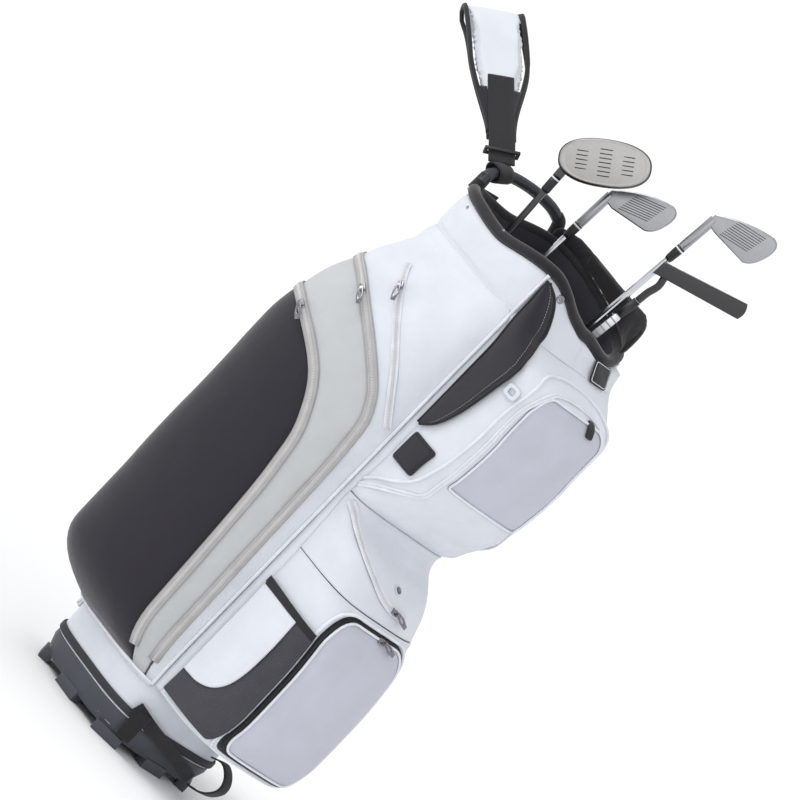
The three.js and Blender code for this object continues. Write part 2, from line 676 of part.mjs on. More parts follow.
function frontTrims() {
  const moonEdge = seam(
    [-60, 868], [-45.6, 859], [-40.6, 844.6], [-38.2, 823], [-39, 806], [-46.8, 786], [-57, 764],
    [-61.4, 737], [-65.5, 688], [-70.6, 649], [-76, 626], [-84, 611],
  );
  const moonBack = seam(...moonEdge.points.map(({ y }) => [-FRONT_TURN, y]));
  const moon = overlay(frontPoint, MOON.lift, moonBack, moonEdge, 6, MOON.rows, MOON.thickness);
  add('half_moon_pocket', moon, MATERIAL.blackFabric);
  const patchSide = (turn) => seam([turn, 598], [turn, 556]);
  const patch = overlay(frontPoint, 3.4, patchSide(-81), patchSide(-61), 3, 2, 2.6);
  add('glove_patch', patch, MATERIAL.blackFabric);
  const mesh = overlay(frontPoint, 5, seam([-85, 318], [-85, 112]), seam([-45, 318], [-45, 112]), 8, 8, 2);
  add('mesh_pocket', mesh, MATERIAL.mesh);
  const panelEdge = seam([-57, 309], [-58, 232], [-66, 168], [-73, 154]);
  const panel = overlay(frontPoint, 8, seam([-84.5, 312], [-84.5, 154]), panelEdge, 4, 8, 2.2);
  add('mesh_pocket_panel', panel, MATERIAL.whiteFabric);
  add('towel_loop', towelLoop(), MATERIAL.whiteFabric);
}

// ---------------------------------------------------------------- webbing
const outwards = (point) => V(point.x, point.y, 0).normalize();

const WEBBING = { width: 24, thickness: 2.2, half: 125, tail: 2.4 };

/** The webbing anchor sewn low on the front, and the grab loop that stands out from its end. */
function baseWebbing() {
  const { width, thickness, half } = WEBBING;
  const lay = (angle, z) => section(half, rad(angle), z);
  const upright = new THREE.CatmullRomCurve3([lay(-38, 20), lay(-38, 44), lay(-38, 66)]);
  const slant = new THREE.CatmullRomCurve3([lay(-44, 66), lay(-30, 56), lay(-12, 46), lay(8, 36), lay(25, 25)]);
  const legs = [
    ribbon(framesAlong(upright, 4, outwards), width, thickness),
    ribbon(framesAlong(slant, 12, outwards), width - 4, thickness),
  ];
  add('base_handle', join(...legs), MATERIAL.webbing);
  const loop = new THREE.CatmullRomCurve3([
    V(127, 62, 68), V(146, 66, 74), V(164, 70, 62), V(168, 71, 48), V(158, 69, 32), V(142, 65, 23),
    V(129, 62, 20),
  ]);
  const middle = V(142, 66, 47);
  const frames = framesAlong(loop, 16, (point) => point.clone().sub(middle));
  add('base_loop', ribbon(frames, width - 2, thickness), MATERIAL.webbing);
}

// ---------------------------------------------------------------- clubs
const TOE = V(0.743, 0.669, 0); // the direction in plan that every head's toe points

/** A group whose Z runs up a club's shaft, from its butt in the well to where it passes the rim. */
const clubGroup = (butt, rim) => placed(butt, rim.clone().sub(butt), V(-TOE.y, TOE.x, 0));

function gripAndShaft(name, group, length, shaftFinish) {
  const { grip, gripRadius, gripTip, shaftButt, shaftTip, wall } = CLUB;
  const bore = shaftButt + GAP;
  const plug = 6;
  const sleeve = [
    [0, 0], [gripRadius - 1.5, 0], [gripRadius, 2], [gripRadius, 30], [gripTip, grip], [bore, grip],
    [bore, plug], [0, plug],
  ];
  add(`${name}_grip`, turned(sleeve), MATERIAL.rubber, group);
  const start = plug + GAP;
  const tube = [
    [shaftButt, start], [shaftButt, grip + 4], [shaftTip, length], [shaftTip - wall, length],
    [shaftButt - wall, start], [shaftButt, start],
  ];
  add(`${name}_shaft`, turned(tube, 16), shaftFinish, group);
}

const EDGE_BEVEL = 1.5;

/** A blade head as a plate with its outline in the shaft's plane: x to the toe, y here along the shaft. */
function bladePlate(outline, thickness) {
  const plate = new THREE.ExtrudeGeometry(outline, {
    depth: thickness - 2 * EDGE_BEVEL,
    bevelThickness: EDGE_BEVEL,
    bevelSize: EDGE_BEVEL,
    bevelSegments: 1,
    curveSegments: 6,
  });
  return plate.rotateX(Math.PI / 2).translate(0, thickness / 2 - EDGE_BEVEL, 0);
}

/** An iron or wedge head, sole up, from the heel at the hosel to the toe. */
function ironHead({ length, reach, toe, rise, hosel, face }) {
  const foot = length + hosel;
  const outline = new THREE.Shape();
  outline.moveTo(-4, foot - 6);
  outline.lineTo(-2, foot + 8);
  outline.quadraticCurveTo(reach * 0.4, foot + rise * 0.9 + 16, reach - 12, foot + rise + toe * 0.46);
  outline.quadraticCurveTo(reach + 3, foot + rise + toe * 0.46, reach, foot + rise + toe * 0.05);
  outline.quadraticCurveTo(reach - 4, foot + rise - toe * 0.42, reach - 16, foot + rise - toe * 0.52);
  outline.lineTo(14, foot - 8);
  const plate = bladePlate(outline, 9).rotateZ(rad(face));
  return join(plate, rod(CLUB.hosel, length + GAP, foot + 2));
}

/** A ring of the driver's head: a rounded oval of these half sizes, y behind its face. */
const headRing = (wide, tall, y) => Array.from({ length: 20 }, (_, j) => {
  const [c, s] = [Math.cos((j / 10) * Math.PI), Math.sin((j / 10) * Math.PI)];
  return V(wide * Math.sign(c) * Math.abs(c) ** 0.85, y, tall * Math.sign(s) * Math.abs(s) ** 0.85);
});

/** The driver's hollow body, open at the face, in its own frame: x to the toe, -y out of the face. */
function driverBody({ width, height, depth, wall }) {
  const ring = (k, inset) => headRing(
    (width - inset) * Math.sqrt(1 - k ** 2.4), (height - inset) * Math.sqrt(1 - k ** 2), k * (depth - inset),
  );
  const steps = [0, 0.25, 0.5, 0.72, 0.88, 0.97];
  return loft([...steps.map((k) => ring(k, wall)).reverse(), ...steps.map((k) => ring(k, 0))]);
}

function driverFace({ width, height, face }) {
  const ring = (scale, y) => headRing(width * scale, height * scale, -GAP - y);
  return loft([ring(1, 0), ring(1, 1), ring(0.75, face), ring(0.3, face + 1.2)]);
}

function driver() {
  const group = clubGroup(V(-20, -33, CLUB.butt), V(-84, -21, 890));
  const { length, neck, rise, set: toTheToe } = DRIVER;
  gripAndShaft('driver', group, length, MATERIAL.graphite);
  const tilt = new THREE.Group();
  tilt.position.set(toTheToe, -10, length + rise);
  tilt.rotation.set(0, rad(-33), 0);
  group.add(tilt);
  tilt.updateMatrix();
  const body = driverBody(DRIVER).applyMatrix4(tilt.matrix);
  add('driver_head', join(body, rod(6.4, length + GAP, length + neck)), MATERIAL.blackMetal, group);
  add('driver_face', driverFace(DRIVER), MATERIAL.titanium, tilt);
  const bore = CLUB.shaftTip + 0.9;
  const [low, high] = [length - 24, length - 2];
  const ferrule = [[bore, low], [CLUB.hosel, low + 4], [CLUB.hosel, high], [bore, high], [bore, low]];
  add('driver_ferrule', turned(ferrule, 16), MATERIAL.blackPlastic, group);
}

function irons() {
  const wedge = clubGroup(V(-90, 8, CLUB.butt), V(-84, 71, 890));
  gripAndShaft('wedge', wedge, WEDGE.length, MATERIAL.steel);
  add('wedge_head', ironHead(WEDGE), MATERIAL.steel, wedge);
  const iron = clubGroup(V(-10, 38, CLUB.butt), V(43, 98, 890));
  gripAndShaft('iron', iron, IRON.length, MATERIAL.steel);
  add('iron_head', ironHead(IRON), MATERIAL.steel, iron);
}

/** The putter's blade, with its sole up and its toe end raised. */
function putterOutline(foot) {
  const { blade, heel, slope } = PUTTER;
  const toe = heel + blade;
  const rise = (x) => foot + (x - heel) * slope;
  const outline = new THREE.Shape();
  outline.moveTo(heel, rise(heel));
  outline.lineTo(heel - 1, rise(heel) + 18);
  outline.lineTo(toe - 6, rise(toe) + 20);
  outline.quadraticCurveTo(toe + 3, rise(toe) + 12, toe, rise(toe));
  return outline;
}

function putter() {
  const { length, foot, thickness } = PUTTER;
  const group = clubGroup(V(14, -18, CLUB.butt + 1), V(92, 64, 890));
  gripAndShaft('putter', group, length, MATERIAL.steel);
  const top = length + GAP;
  const neck = new THREE.CatmullRomCurve3([
    V(0, 0, top), V(0, 0, top + 18), V(2, 0, top + 34), V(-2, 0, top + 48),
  ]);
  const blade = bladePlate(putterOutline(top + foot), thickness);
  add('putter_head', join(bar(neck, 5.5, 10), blade), MATERIAL.blackMetal, group);
}

// ---------------------------------------------------------------- zip sliders and pulls
const PULL = { length: 27, width: 9, thickness: 1.8, above: 6, droop: 0.4 };

/** A pull tab: narrow at the pivot, widest past its middle, with a long hole. */
function pullTab() {
  const { length, width, thickness } = PULL;
  const side = [[width / 2 - 1.5, 0], [width / 2, length * 0.55], [width / 3, length]];
  const corners = [...side, ...side.map(([x, y]) => [-x, y]).reverse()];
  const outline = new THREE.Shape(corners.map(([x, y]) => new THREE.Vector2(x, y)));
  const hole = new THREE.Path();
  hole.absellipse(0, length * 0.45, 2, length * 0.24, 0, Math.PI * 2);
  outline.holes.push(hole);
  return new THREE.ExtrudeGeometry(outline, { depth: thickness, bevelEnabled: false, curveSegments: 6 });
}

/** A slider on a seam at t along it, and the pull that lies along the seam and droops a little. */
function slider(name, surface, curve, t, du, lift) {
  const at = curve.getPoint(t);
  const ahead = curve.getPoint(t + 0.01);
  const point = surface(at.x, at.y);
  const normal = normalOn(surface, at.x, at.y, du);
  const tangent = surface(ahead.x, ahead.y).sub(point).normalize();
  const runner = placed(point.clone().addScaledVector(normal, lift), normal, tangent);
  const body = join(box(8, 12, 2.4, V(0, 0, 1.2)), box(2.4, 9, 2.6, V(0, 0, 3.4)));
  add(`${name}_slider`, body, MATERIAL.gunmetal, runner);
  const lie = tangent.clone().addScaledVector(V(0, 0, -1), PULL.droop);
  lie.addScaledVector(normal, -lie.dot(normal)).normalize();
  const pivot = point.clone().addScaledVector(normal, lift + PULL.above).addScaledVector(lie, 1.5);
  add(`${name}_pull`, pullTab(), MATERIAL.gunmetal, placed(pivot, normal, lie));
}

function sliders() {
  slider('near_lower', sidePoint, INNER_SEAM, 0.19, SIDE_STEP, 4.6);
  slider('near_upper', sidePoint, OUTER_SEAM, 0.21, SIDE_STEP, 4.6);
  slider('near_slash', sidePoint, SLASH_SEAM, 0.22, SIDE_STEP, 4.6);
  slider('mid', frontPoint, MID_SEAM, 0.84, FRONT_STEP, 4.4);
  const lidTop = COOLER.high - 8;
  slider('cooler', frontPoint, seam([-20, lidTop], [20, lidTop]), 0.62, FRONT_STEP, 1.2);
}

// ---------------------------------------------------------------- strap
const STRAP = { width: 88, tip: 42, thickness: 9, webbing: 38, side: V(0.4, 0.765, 0.505) };

/** The loop's centre line, from the near end of the lift handle out, over the fold and back to the spine. */
const STRAP_PATH = new THREE.CatmullRomCurve3([
  V(-146, -54, 908), V(-190, -47, 934), V(-250, -40, 968), V(-310, -35, 1004), V(-360, -31, 1029),
  V(-383, -24, 1035), V(-390, -13, 1026), V(-374, -5, 1014), V(-318, -10, 990), V(-258, -15, 954),
  V(-198, -20, 920), V(-164, -24, 898),
]);

/** Frames on the strap's centre line, broad side along STRAP.side, between two parts of its length. */
function strapFrames(from, to, steps) {
  return Array.from({ length: steps + 1 }, (_, k) => {
    const t = mix(from, to, k / steps);
    const tangent = STRAP_PATH.getTangentAt(t);
    const side = STRAP.side.clone().addScaledVector(tangent, -STRAP.side.dot(tangent)).normalize();
    const normal = side.clone().cross(tangent).normalize();
    return { t, point: STRAP_PATH.getPointAt(t), tangent, side, normal };
  });
}

/** A flat section across the strap, between two heights above its centre line. */
function strapSection({ point, side, normal }, width, low, high) {
  const corner = (up, across) => point.clone().addScaledVector(normal, up).addScaledVector(side, across);
  const half = width / 2;
  return [corner(low, half), corner(high, half), corner(high, -half), corner(low, -half)];
}

function strapPad() {
  const widths = [[0.1, STRAP.tip], [0.34, STRAP.width], [0.66, STRAP.width], [0.9, STRAP.tip]];
  const half = STRAP.thickness / 2;
  const rings = strapFrames(0.1, 0.9, 24).map(
    (frame) => strapSection(frame, through(widths, frame.t), -half, half),
  );
  add('strap_pad', loft(rings), MATERIAL.whiteFabric);
}

/** The webbing sewn over the pad's near end, and the plastic ring that it runs through. */
function strapWebbing() {
  const low = STRAP.thickness / 2 + GAP;
  const rings = strapFrames(0, 0.27, 8).map(
    (frame) => strapSection(frame, STRAP.webbing, low, low + WEBBING.tail),
  );
  add('strap_webbing', loft(rings), MATERIAL.webbing);
  const [end] = strapFrames(0.03, 0.04, 1);
  const rectangle = (halfWide, halfHigh) => [[-1, -1], [1, -1], [1, 1], [-1, 1]].map(
    ([x, y]) => new THREE.Vector2(x * halfWide, y * halfHigh),
  );
  const outline = new THREE.Shape(rectangle(25, 7));
  outline.holes.push(new THREE.Path(rectangle(20.5, 3)));
  const ring = new THREE.ExtrudeGeometry(outline, { depth: 5, bevelEnabled: false });
  const at = placed(end.point.clone().addScaledVector(end.normal, low + 1.2), end.tangent, end.normal);
  add('strap_ring', ring, MATERIAL.blackPlastic, at);
}

/** The strap's lower webbing, which runs down the spine to its sewn end. */
function strapTail() {
  const path = new THREE.CatmullRomCurve3([
    V(-140, -36, 872), V(-142, -34, 846), V(-146, -30, 790), V(-147, -24, 700), V(-146, -18, 560),
    V(-142, -14, 420),
  ]);
  const frames = framesAlong(path, 12, () => V(-1, 0, 0));
  add('strap_tail', ribbon(frames, STRAP.webbing, WEBBING.tail), MATERIAL.webbing);
}

baseTray();
baseBand();
mainTube();
wellDivider();
topCuff();
rimTrim();
farLip();
liftHandle();
spinePanel();
sidePockets();
upperPocket();
midPocket();
cooler();
frontTrims();
baseWebbing();
driver();
irons();
putter();
sliders();
strapPad();
strapWebbing();
strapTail();

export default set;
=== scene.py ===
"""Golf club set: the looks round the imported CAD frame. Lengths here are millimetres until a mesh is made."""

import json
import math

import bmesh
import bpy
from mathutils import Matrix, Vector, noise

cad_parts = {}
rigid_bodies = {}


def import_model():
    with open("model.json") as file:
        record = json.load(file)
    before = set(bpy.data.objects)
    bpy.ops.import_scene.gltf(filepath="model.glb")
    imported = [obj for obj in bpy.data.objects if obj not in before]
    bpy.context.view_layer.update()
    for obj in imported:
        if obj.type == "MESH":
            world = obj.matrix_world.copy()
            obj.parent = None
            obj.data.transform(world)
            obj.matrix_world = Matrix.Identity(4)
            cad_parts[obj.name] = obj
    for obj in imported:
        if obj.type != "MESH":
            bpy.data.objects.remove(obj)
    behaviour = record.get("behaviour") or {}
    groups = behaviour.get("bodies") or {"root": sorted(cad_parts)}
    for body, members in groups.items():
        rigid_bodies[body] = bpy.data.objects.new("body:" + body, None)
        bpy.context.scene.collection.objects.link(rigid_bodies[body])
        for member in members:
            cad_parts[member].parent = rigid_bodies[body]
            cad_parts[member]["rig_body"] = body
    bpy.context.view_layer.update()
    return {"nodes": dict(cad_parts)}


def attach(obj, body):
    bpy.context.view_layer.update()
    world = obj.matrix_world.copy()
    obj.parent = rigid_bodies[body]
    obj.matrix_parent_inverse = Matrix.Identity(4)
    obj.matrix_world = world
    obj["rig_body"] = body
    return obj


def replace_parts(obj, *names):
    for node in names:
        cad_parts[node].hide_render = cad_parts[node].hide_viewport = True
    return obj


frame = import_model()
MM = 0.001
UV = "cloth"
TURN_STEP, SEAM_STEP = 0.5, 0.01  # how far apart normals are measured, in degrees and along a side pocket

# ------------------------------------------------------------------ camera and light
TARGET, DISTANCE = Vector((-0.017, -0.014, 0.592)), 12.0
AZIMUTH, ELEVATION, ROLL = (math.radians(angle) for angle in (42, 8, 44.1))
FOCAL_LENGTH, SENSOR = 400, 36
FLOOR_REACH, FLOOR_WHITE = 60, 0.98
SKY = 0.8
LAMPS = [("key", (-0.55, -0.62, 0.72), 1.2, 38), ("fill", (0.75, -0.6, 0.35), 0.5, 60)]

# ------------------------------------------------------------------ the bag's surfaces, as in the CAD source
BASE_HALF, TOP_HALF = 118.4, 129.3
BASE_Z, RIM_Z = 50, 870
SQUARENESS = 3.6
CORNER = 2 ** (-1 / SQUARENESS)
SIDE_DEPTH, SIDE_OFFSET, SIDE_TOP, SIDE_BOTTOM = 84, 6.8, 785, 100
FRONT_POWER, FRONT_SET, FRONT_FLARE = 4, 8, 2
FRONT_TURN = 86  # where the front pockets end, in degrees either side of the middle
SHOULDER_Z, BELLY_Z = 560, 190
SEAM_END = 0.985  # where the side pockets meet the corner seam
CLOTH = 3.4
MOON_LIFT = 6.5
RIM_KNOTS = [(0, 842), (30, 829), (48, 842), (90, 866), (135, 876), (180, 862), (225, 869), (270, 862),
             (315, 881), (345, 851), (360, 842)]
FRONT_KNOTS = [(104, 118), (112, 134), (124, 148), (145, 158), (170, 162), (250, 160), (300, 154), (330, 147),
               (350, 136), (362, 128), (376.6, 122), (378.4, 120), (390, 114), (411, 102), (431, 80), (452, 46),
               (465, 34), (472, 32), (479, 36), (486, 46), (493, 58), (513, 73), (534, 92), (554, 105), (575, 108),
               (600, 115), (660, 121), (700, 119), (738, 119), (759, 110), (780, 74), (792, 55), (803, 40),
               (825, 28), (845, 17), (868, 2), (880, 0)]


def mix(a, b, t):
    return a + (b - a) * t


def clamp(t, low=0.0, high=1.0):
    return min(max(t, low), high)


def power(value, exponent):
    """Signed power, for superellipses."""
    return math.copysign(abs(value) ** exponent, value)


def half_at(z):
    """Half the tube's width at a height."""
    return mix(BASE_HALF, TOP_HALF, (z - BASE_Z) / (RIM_Z - BASE_Z))


def section(half, angle, z):
    """A point on the bag's rounded square section, by angle in plan."""
    c, s = math.cos(angle), math.sin(angle)
    r = half / (abs(c) ** SQUARENESS + abs(s) ** SQUARENESS) ** (1 / SQUARENESS)
    return Vector((r * c, r * s, z))


def through(knots, key):
    """Smooth value through (key, value) knots that never overshoots them."""
    k = next((i for i, (at, _) in enumerate(knots) if at >= key), len(knots) - 1)
    k = max(k, 1)

    def slope(i):
        return (knots[i + 1][1] - knots[i][1]) / (knots[i + 1][0] - knots[i][0])

    def tangent(i):
        if i in (0, len(knots) - 1):
            return 0
        before, after = slope(i - 1), slope(i)
        return 0 if before * after <= 0 else 2 * before * after / (before + after)

    (x0, y0), (x1, y1) = knots[k - 1], knots[k]
    t, width = clamp((key - x0) / (x1 - x0)), x1 - x0
    start = (1 + 2 * t) * (1 - t) ** 2 * y0 + t * (1 - t) ** 2 * width * tangent(k - 1)
    return start + t * t * (3 - 2 * t) * y1 + t * t * (t - 1) * width * tangent(k)


def rim_at(angle):
    return through(RIM_KNOTS, math.degrees(angle) % 360)


def side_depth(z):
    """How far a side pocket stands out at a height."""
    shoulder = clamp((z - SHOULDER_Z) / (SIDE_TOP - SHOULDER_Z)) ** 1.8
    belly = clamp((BELLY_Z - z) / (BELLY_Z - SIDE_BOTTOM)) ** 2.5
    return SIDE_DEPTH * (1 - shoulder) * (1 - belly)


def side_point(s, z, lift=0.0):
    """The near side pocket's face, s from 0 at the spine to 1 at the front corner."""
    flat = section(half_at(z) + SIDE_OFFSET + lift, math.radians(mix(-135, -45, s)), z)
    bulge = (side_depth(z) + lift) * math.sin(math.pi * clamp(s) ** 0.6)
    return Vector((flat.x - bulge * (1 - clamp(s)) ** 1.1, flat.y - bulge, z))


def front_point(turn, z, lift=0.0):
    """The front pockets' face, by turn in degrees from the middle."""
    corner = CORNER * half_at(z)
    c, s = math.cos(math.radians(turn)), math.sin(math.radians(turn))
    r = (abs(c) ** FRONT_POWER + abs(s) ** FRONT_POWER) ** (-1 / FRONT_POWER)
    depth = through(FRONT_KNOTS, z) + lift
    return Vector((corner + FRONT_SET + depth * r * c, (corner + FRONT_FLARE + lift) * r * s, z))


def wall_point(angle, z, lift=0.0):
    """The tube's own face, by angle in plan in degrees."""
    return section(half_at(z) + lift, math.radians(angle), z)


def normal_on(surface, u, z, du=TURN_STEP):
    """The outward normal of a surface."""
    along = surface(u + du, z) - surface(u - du, z)
    up = surface(u, z + 1) - surface(u, z - 1)
    normal = along.cross(up).normalized()
    here = surface(u, z)
    return -normal if normal.dot(Vector((here.x, here.y, 0))) < 0 else normal


def spline(points):
    """A uniform Catmull-Rom curve through points of any dimension, as a function of 0 to 1."""
    points = [Vector(p) for p in points]
    spans = len(points) - 1

    def at(t):
        x = clamp(t) * spans
        i = min(int(x), spans - 1)
        w = x - i
        p1, p2 = points[i], points[i + 1]
        p0 = points[i - 1] if i > 0 else p1 * 2 - p2
        p3 = points[i + 2] if i < spans - 1 else p2 * 2 - p1
        a, b = (p2 - p0) * 0.5, (p3 - p1) * 0.5
        return (p1 * 2 - p2 * 2 + a + b) * w ** 3 + (p2 * 3 - p1 * 3 - a * 2 - b) * w ** 2 + a * w + p1

    return at


INNER_SEAM = spline([(0.03, 619), (0.3, 611), (0.57, 568), (0.7, 505), (0.745, 436), (0.77, 330), (0.8, 104)])
OUTER_SEAM = spline([(0.03, 704), (0.3, 694), (0.55, 661), (0.74, 621), (0.85, 580), (0.888, 520), (0.905, 330),
                     (0.92, 104)])
CUFF_SEAM = spline([(0.0, 800), (0.45, 801), (0.8, 801), (0.975, 801), (SEAM_END, 700), (SEAM_END, 560),
                    (SEAM_END, 330), (SEAM_END, 102)])
SLASH_SEAM = spline([(0.36, 744), (0.577, 702), (0.79, 646), (0.955, 575)])
SPINE_EDGE = spline([(0.0, 606), (0.0, 480), (0.0, 330), (0.0, 104)])
MID_SEAM = spline([(-62, 472), (-50, 462), (-36, 432), (-18, 410), (0, 400), (18, 398)])


# ------------------------------------------------------------------ mesh helpers
def circle(count):
    """The (cos, sin) of even turns."""
    return [(math.cos(2 * math.pi * j / count), math.sin(2 * math.pi * j / count)) for j in range(count)]


def linked(name, mesh):
    """A new object in the scene."""
    piece = bpy.data.objects.new(name, mesh)
    bpy.context.scene.collection.objects.link(piece)
    return piece


def fix_normals(piece):
    """Turns every face of a closed piece outwards."""
    work = bmesh.new()
    work.from_mesh(piece.data)
    bmesh.ops.recalc_face_normals(work, faces=work.faces)
    work.to_mesh(piece.data)
    work.free()


def make(name, points, faces, uvs, body, finish, smooth=True):
    """A mesh piece from millimetre points, with one (u, v) in metres for each, riding on a body."""
    mesh = bpy.data.meshes.new(name)
    mesh.from_pydata([tuple(Vector(p) * MM) for p in points], [], faces)
    layer = mesh.uv_layers.new(name=UV)
    for loop in mesh.loops:
        layer.data[loop.index].uv = uvs[loop.vertex_index]
    mesh.polygons.foreach_set("use_smooth", [smooth] * len(mesh.polygons))
    mesh.update()
    piece = linked(name, mesh)
    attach(piece, body)
    finish_with(piece, finish)
    fix_normals(piece)
    return piece


def finish_with(piece, finish):
    """finish is (material, record slot)."""
    material, slot = finish
    piece.data.materials.clear()
    piece.data.materials.append(material)


def grid_normals(grid, outward=None):
    """Normals of a grid of points, all on the side of the outward(point) direction."""
    columns, rows = len(grid), len(grid[0])
    normals = []
    for i in range(columns):
        line = []
        for j in range(rows):
            along = grid[min(i + 1, columns - 1)][j] - grid[max(i - 1, 0)][j]
            up = grid[i][min(j + 1, rows - 1)] - grid[i][max(j - 1, 0)]
            line.append(along.cross(up).normalized())
        normals.append(line)
    middle = grid[columns // 2][rows // 2]
    away = outward if outward else Vector((middle.x, middle.y, 0))
    if normals[columns // 2][rows // 2].dot(away) < 0:
        normals = [[-n for n in line] for line in normals]
    return normals


def sheet(name, at, columns, rows, thickness, finish, relief=None, outward=None):
    """A sheet of even thickness. at(a, b) gives the outer face for a, b in 0 to 1, relief(a, b, p) lifts it."""
    grid = [[at(i / columns, j / rows) for j in range(rows + 1)] for i in range(columns + 1)]
    normals = grid_normals(grid, outward)
    if relief:
        grid = [[p + n * relief(i / columns, j / rows, p) for j, (p, n) in enumerate(zip(line, across))]
                for i, (line, across) in enumerate(zip(grid, normals))]
    lengths, heights = [0.0], [0.0]
    for i in range(columns):
        lengths.append(lengths[-1] + (grid[i + 1][rows // 2] - grid[i][rows // 2]).length * MM)
    for j in range(rows):
        heights.append(heights[-1] + (grid[columns // 2][j + 1] - grid[columns // 2][j]).length * MM)
    points, uvs = [], []
    for side in (0, 1):
        for line, across, length in zip(grid, normals, lengths):
            points += [p - n * thickness * side for p, n in zip(line, across)]
            uvs += [(length, height) for height in heights]
    size = (columns + 1) * (rows + 1)
    faces = []
    for i in range(columns):
        for j in range(rows):
            a = i * (rows + 1) + j
            b, c, d = a + rows + 1, a + rows + 2, a + 1
            faces += [(a, b, c, d), (size + d, size + c, size + b, size + a)]
            edges = ((j == 0, a, b), (i == columns - 1, b, c), (j == rows - 1, c, d), (i == 0, d, a))
            faces += [(q, p, size + p, size + q) for outside, p, q in edges if outside]
    first = [points[k] for k in faces[0]]
    winding = (first[1] - first[0]).cross(first[3] - first[0])
    if winding.dot(normals[columns // 2][rows // 2]) < 0:
        faces = [face[::-1] for face in faces]
    return make(name, points, faces, uvs, "bag", finish)


def between(surface, first, second, lift=0.0):
    """The patch of a surface between two seams, for sheet()."""
    def at(a, b):
        u, z = first(b).lerp(second(b), a)
        return surface(u, z, lift)
    return at


def loft(name, rings, finish, body="bag", closed=False, smooth=True):
    """Joins equal rings of points; closed meets itself, otherwise both ends are capped."""
    count = len(rings[0])
    points = [p for ring in rings for p in ring]
    uvs, run = [], 0.0
    for k, ring in enumerate(rings):
        run += (ring[0] - rings[k - 1][0]).length * MM if k else 0.0
        reach = 0.0
        for j, p in enumerate(ring):
            reach += (p - ring[j - 1]).length * MM if j else 0.0
            uvs.append((reach, run))
    faces = []
    for k in range(len(rings) if closed else len(rings) - 1):
        low, high = k * count, (k + 1) % len(rings) * count
        faces += [(low + j, low + (j + 1) % count, high + (j + 1) % count, high + j) for j in range(count)]
    if not closed:
        faces += [tuple(range(count))[::-1], tuple(range(len(points) - count, len(points)))]
    return make(name, points, faces, uvs, body, finish, smooth)


def ribbon_rings(frames, width, thickness, lift=0.0, crown=0.0):
    """Rings of a flat band along (point, tangent, normal) frames, with soft edges and a slight crown."""
    rings = []
    for point, tangent, normal in frames:
        side = tangent.cross(normal).normalized() * (width / 2)
        low, high = point + normal * lift, point + normal * (lift + thickness)
        edge = point + normal * (lift + thickness / 2)
        rings.append([
            edge + side, high + side * 0.94, high + side * 0.5 + normal * crown * 0.7, high + normal * crown,
            high - side * 0.5 + normal * crown * 0.7, high - side * 0.94, edge - side, low - side * 0.94,
            low, low + side * 0.94,
        ])
    return rings


def ribbon(name, frames, width, thickness, finish, body="bag", lift=0.0, crown=0.0):
    """A flat band along frames."""
    return loft(name, ribbon_rings(frames, width, thickness, lift, crown), finish, body)


def frames_on(surface, curve, steps, start=0.0, end=1.0, lift=0.0, du=TURN_STEP):
    """Frames of point, tangent and normal along a seam on a surface."""
    found = []
    for k in range(steps + 1):
        t = mix(start, end, k / steps)
        here, ahead, behind = curve(t), curve(clamp(t + 0.01)), curve(clamp(t - 0.01))
        tangent = (surface(*ahead) - surface(*behind)).normalized()
        normal = normal_on(surface, *here, du)
        found.append((surface(*here) + normal * lift, tangent, normal))
    return found


def frames_along(curve, steps, facing):
    """Frames along a curve in space; facing(point) is the side its broad face looks to."""
    found = []
    for k in range(steps + 1):
        t = k / steps
        tangent = (curve(clamp(t + 0.004)) - curve(clamp(t - 0.004))).normalized()
        normal = facing(curve(t))
        normal = (normal - tangent * normal.dot(tangent)).normalized()
        found.append((curve(t), tangent, normal))
    return found


def tube(name, frames, radius, finish, body="bag", sides=8, closed=False, squash=1.0):
    """A round cord of fabric or bar along frames; radius may be a function of how far along it is."""
    rings = []
    for k, (point, tangent, normal) in enumerate(frames):
        side = tangent.cross(normal).normalized()
        r = radius(k / (len(frames) - 1)) if callable(radius) else radius
        rings.append([point + side * (r * c) + normal * (r * squash * s) for c, s in circle(sides)])
    return loft(name, rings, finish, body, closed)


def evenly(frames, spacing):
    """Frames picked every spacing millimetres along a run of frames."""
    found, travelled, target = [], 0.0, 0.0
    for before, after in zip(frames, frames[1:]):
        length = (after[0] - before[0]).length
        while length and travelled + length >= target:
            t = (target - travelled) / length
            found.append(tuple(before[k].lerp(after[k], t) for k in range(3)))
            target += spacing
        travelled += length
    return found


def beads(name, frames, size, finish, body="bag", lift=0.0, offset=0.0):
    """One mesh of small blocks, one on each frame: stitches and zip teeth. size is along, across, up."""
    points, faces, uvs = [], [], []
    along, across, up = size
    for point, tangent, normal in frames:
        side = tangent.cross(normal).normalized()
        centre = point + side * offset + normal * lift
        base = len(points)
        for x in (-0.5, 0.5):
            for y, z in ((-0.5, 0.0), (-0.3, 1.0), (0.3, 1.0), (0.5, 0.0)):
                points.append(centre + tangent * (x * along * (1 - 0.25 * z)) + side * (y * across)
                              + normal * (z * up))
                uvs.append((x * along * MM, y * across * MM))
        faces += [(base, base + 1, base + 2, base + 3), (base + 7, base + 6, base + 5, base + 4)]
        faces += [(base + j, base + 4 + j, base + 4 + (j + 1) % 4, base + (j + 1) % 4) for j in range(4)]
    return make(name, points, faces, uvs, body, finish, smooth=False)


def turned(name, profile, origin, axis, finish, body, sides=32):
    """A turned solid about an axis, from (radius, height) pairs that start and end on the axis or close."""
    z = axis.normalized()
    x = z.orthogonal().normalized()
    y = z.cross(x)
    rings = [[origin + z * h + x * (max(r, 0.01) * c) + y * (max(r, 0.01) * s) for c, s in circle(sides)]
             for r, h in profile]
    return loft(name, rings, finish, body)


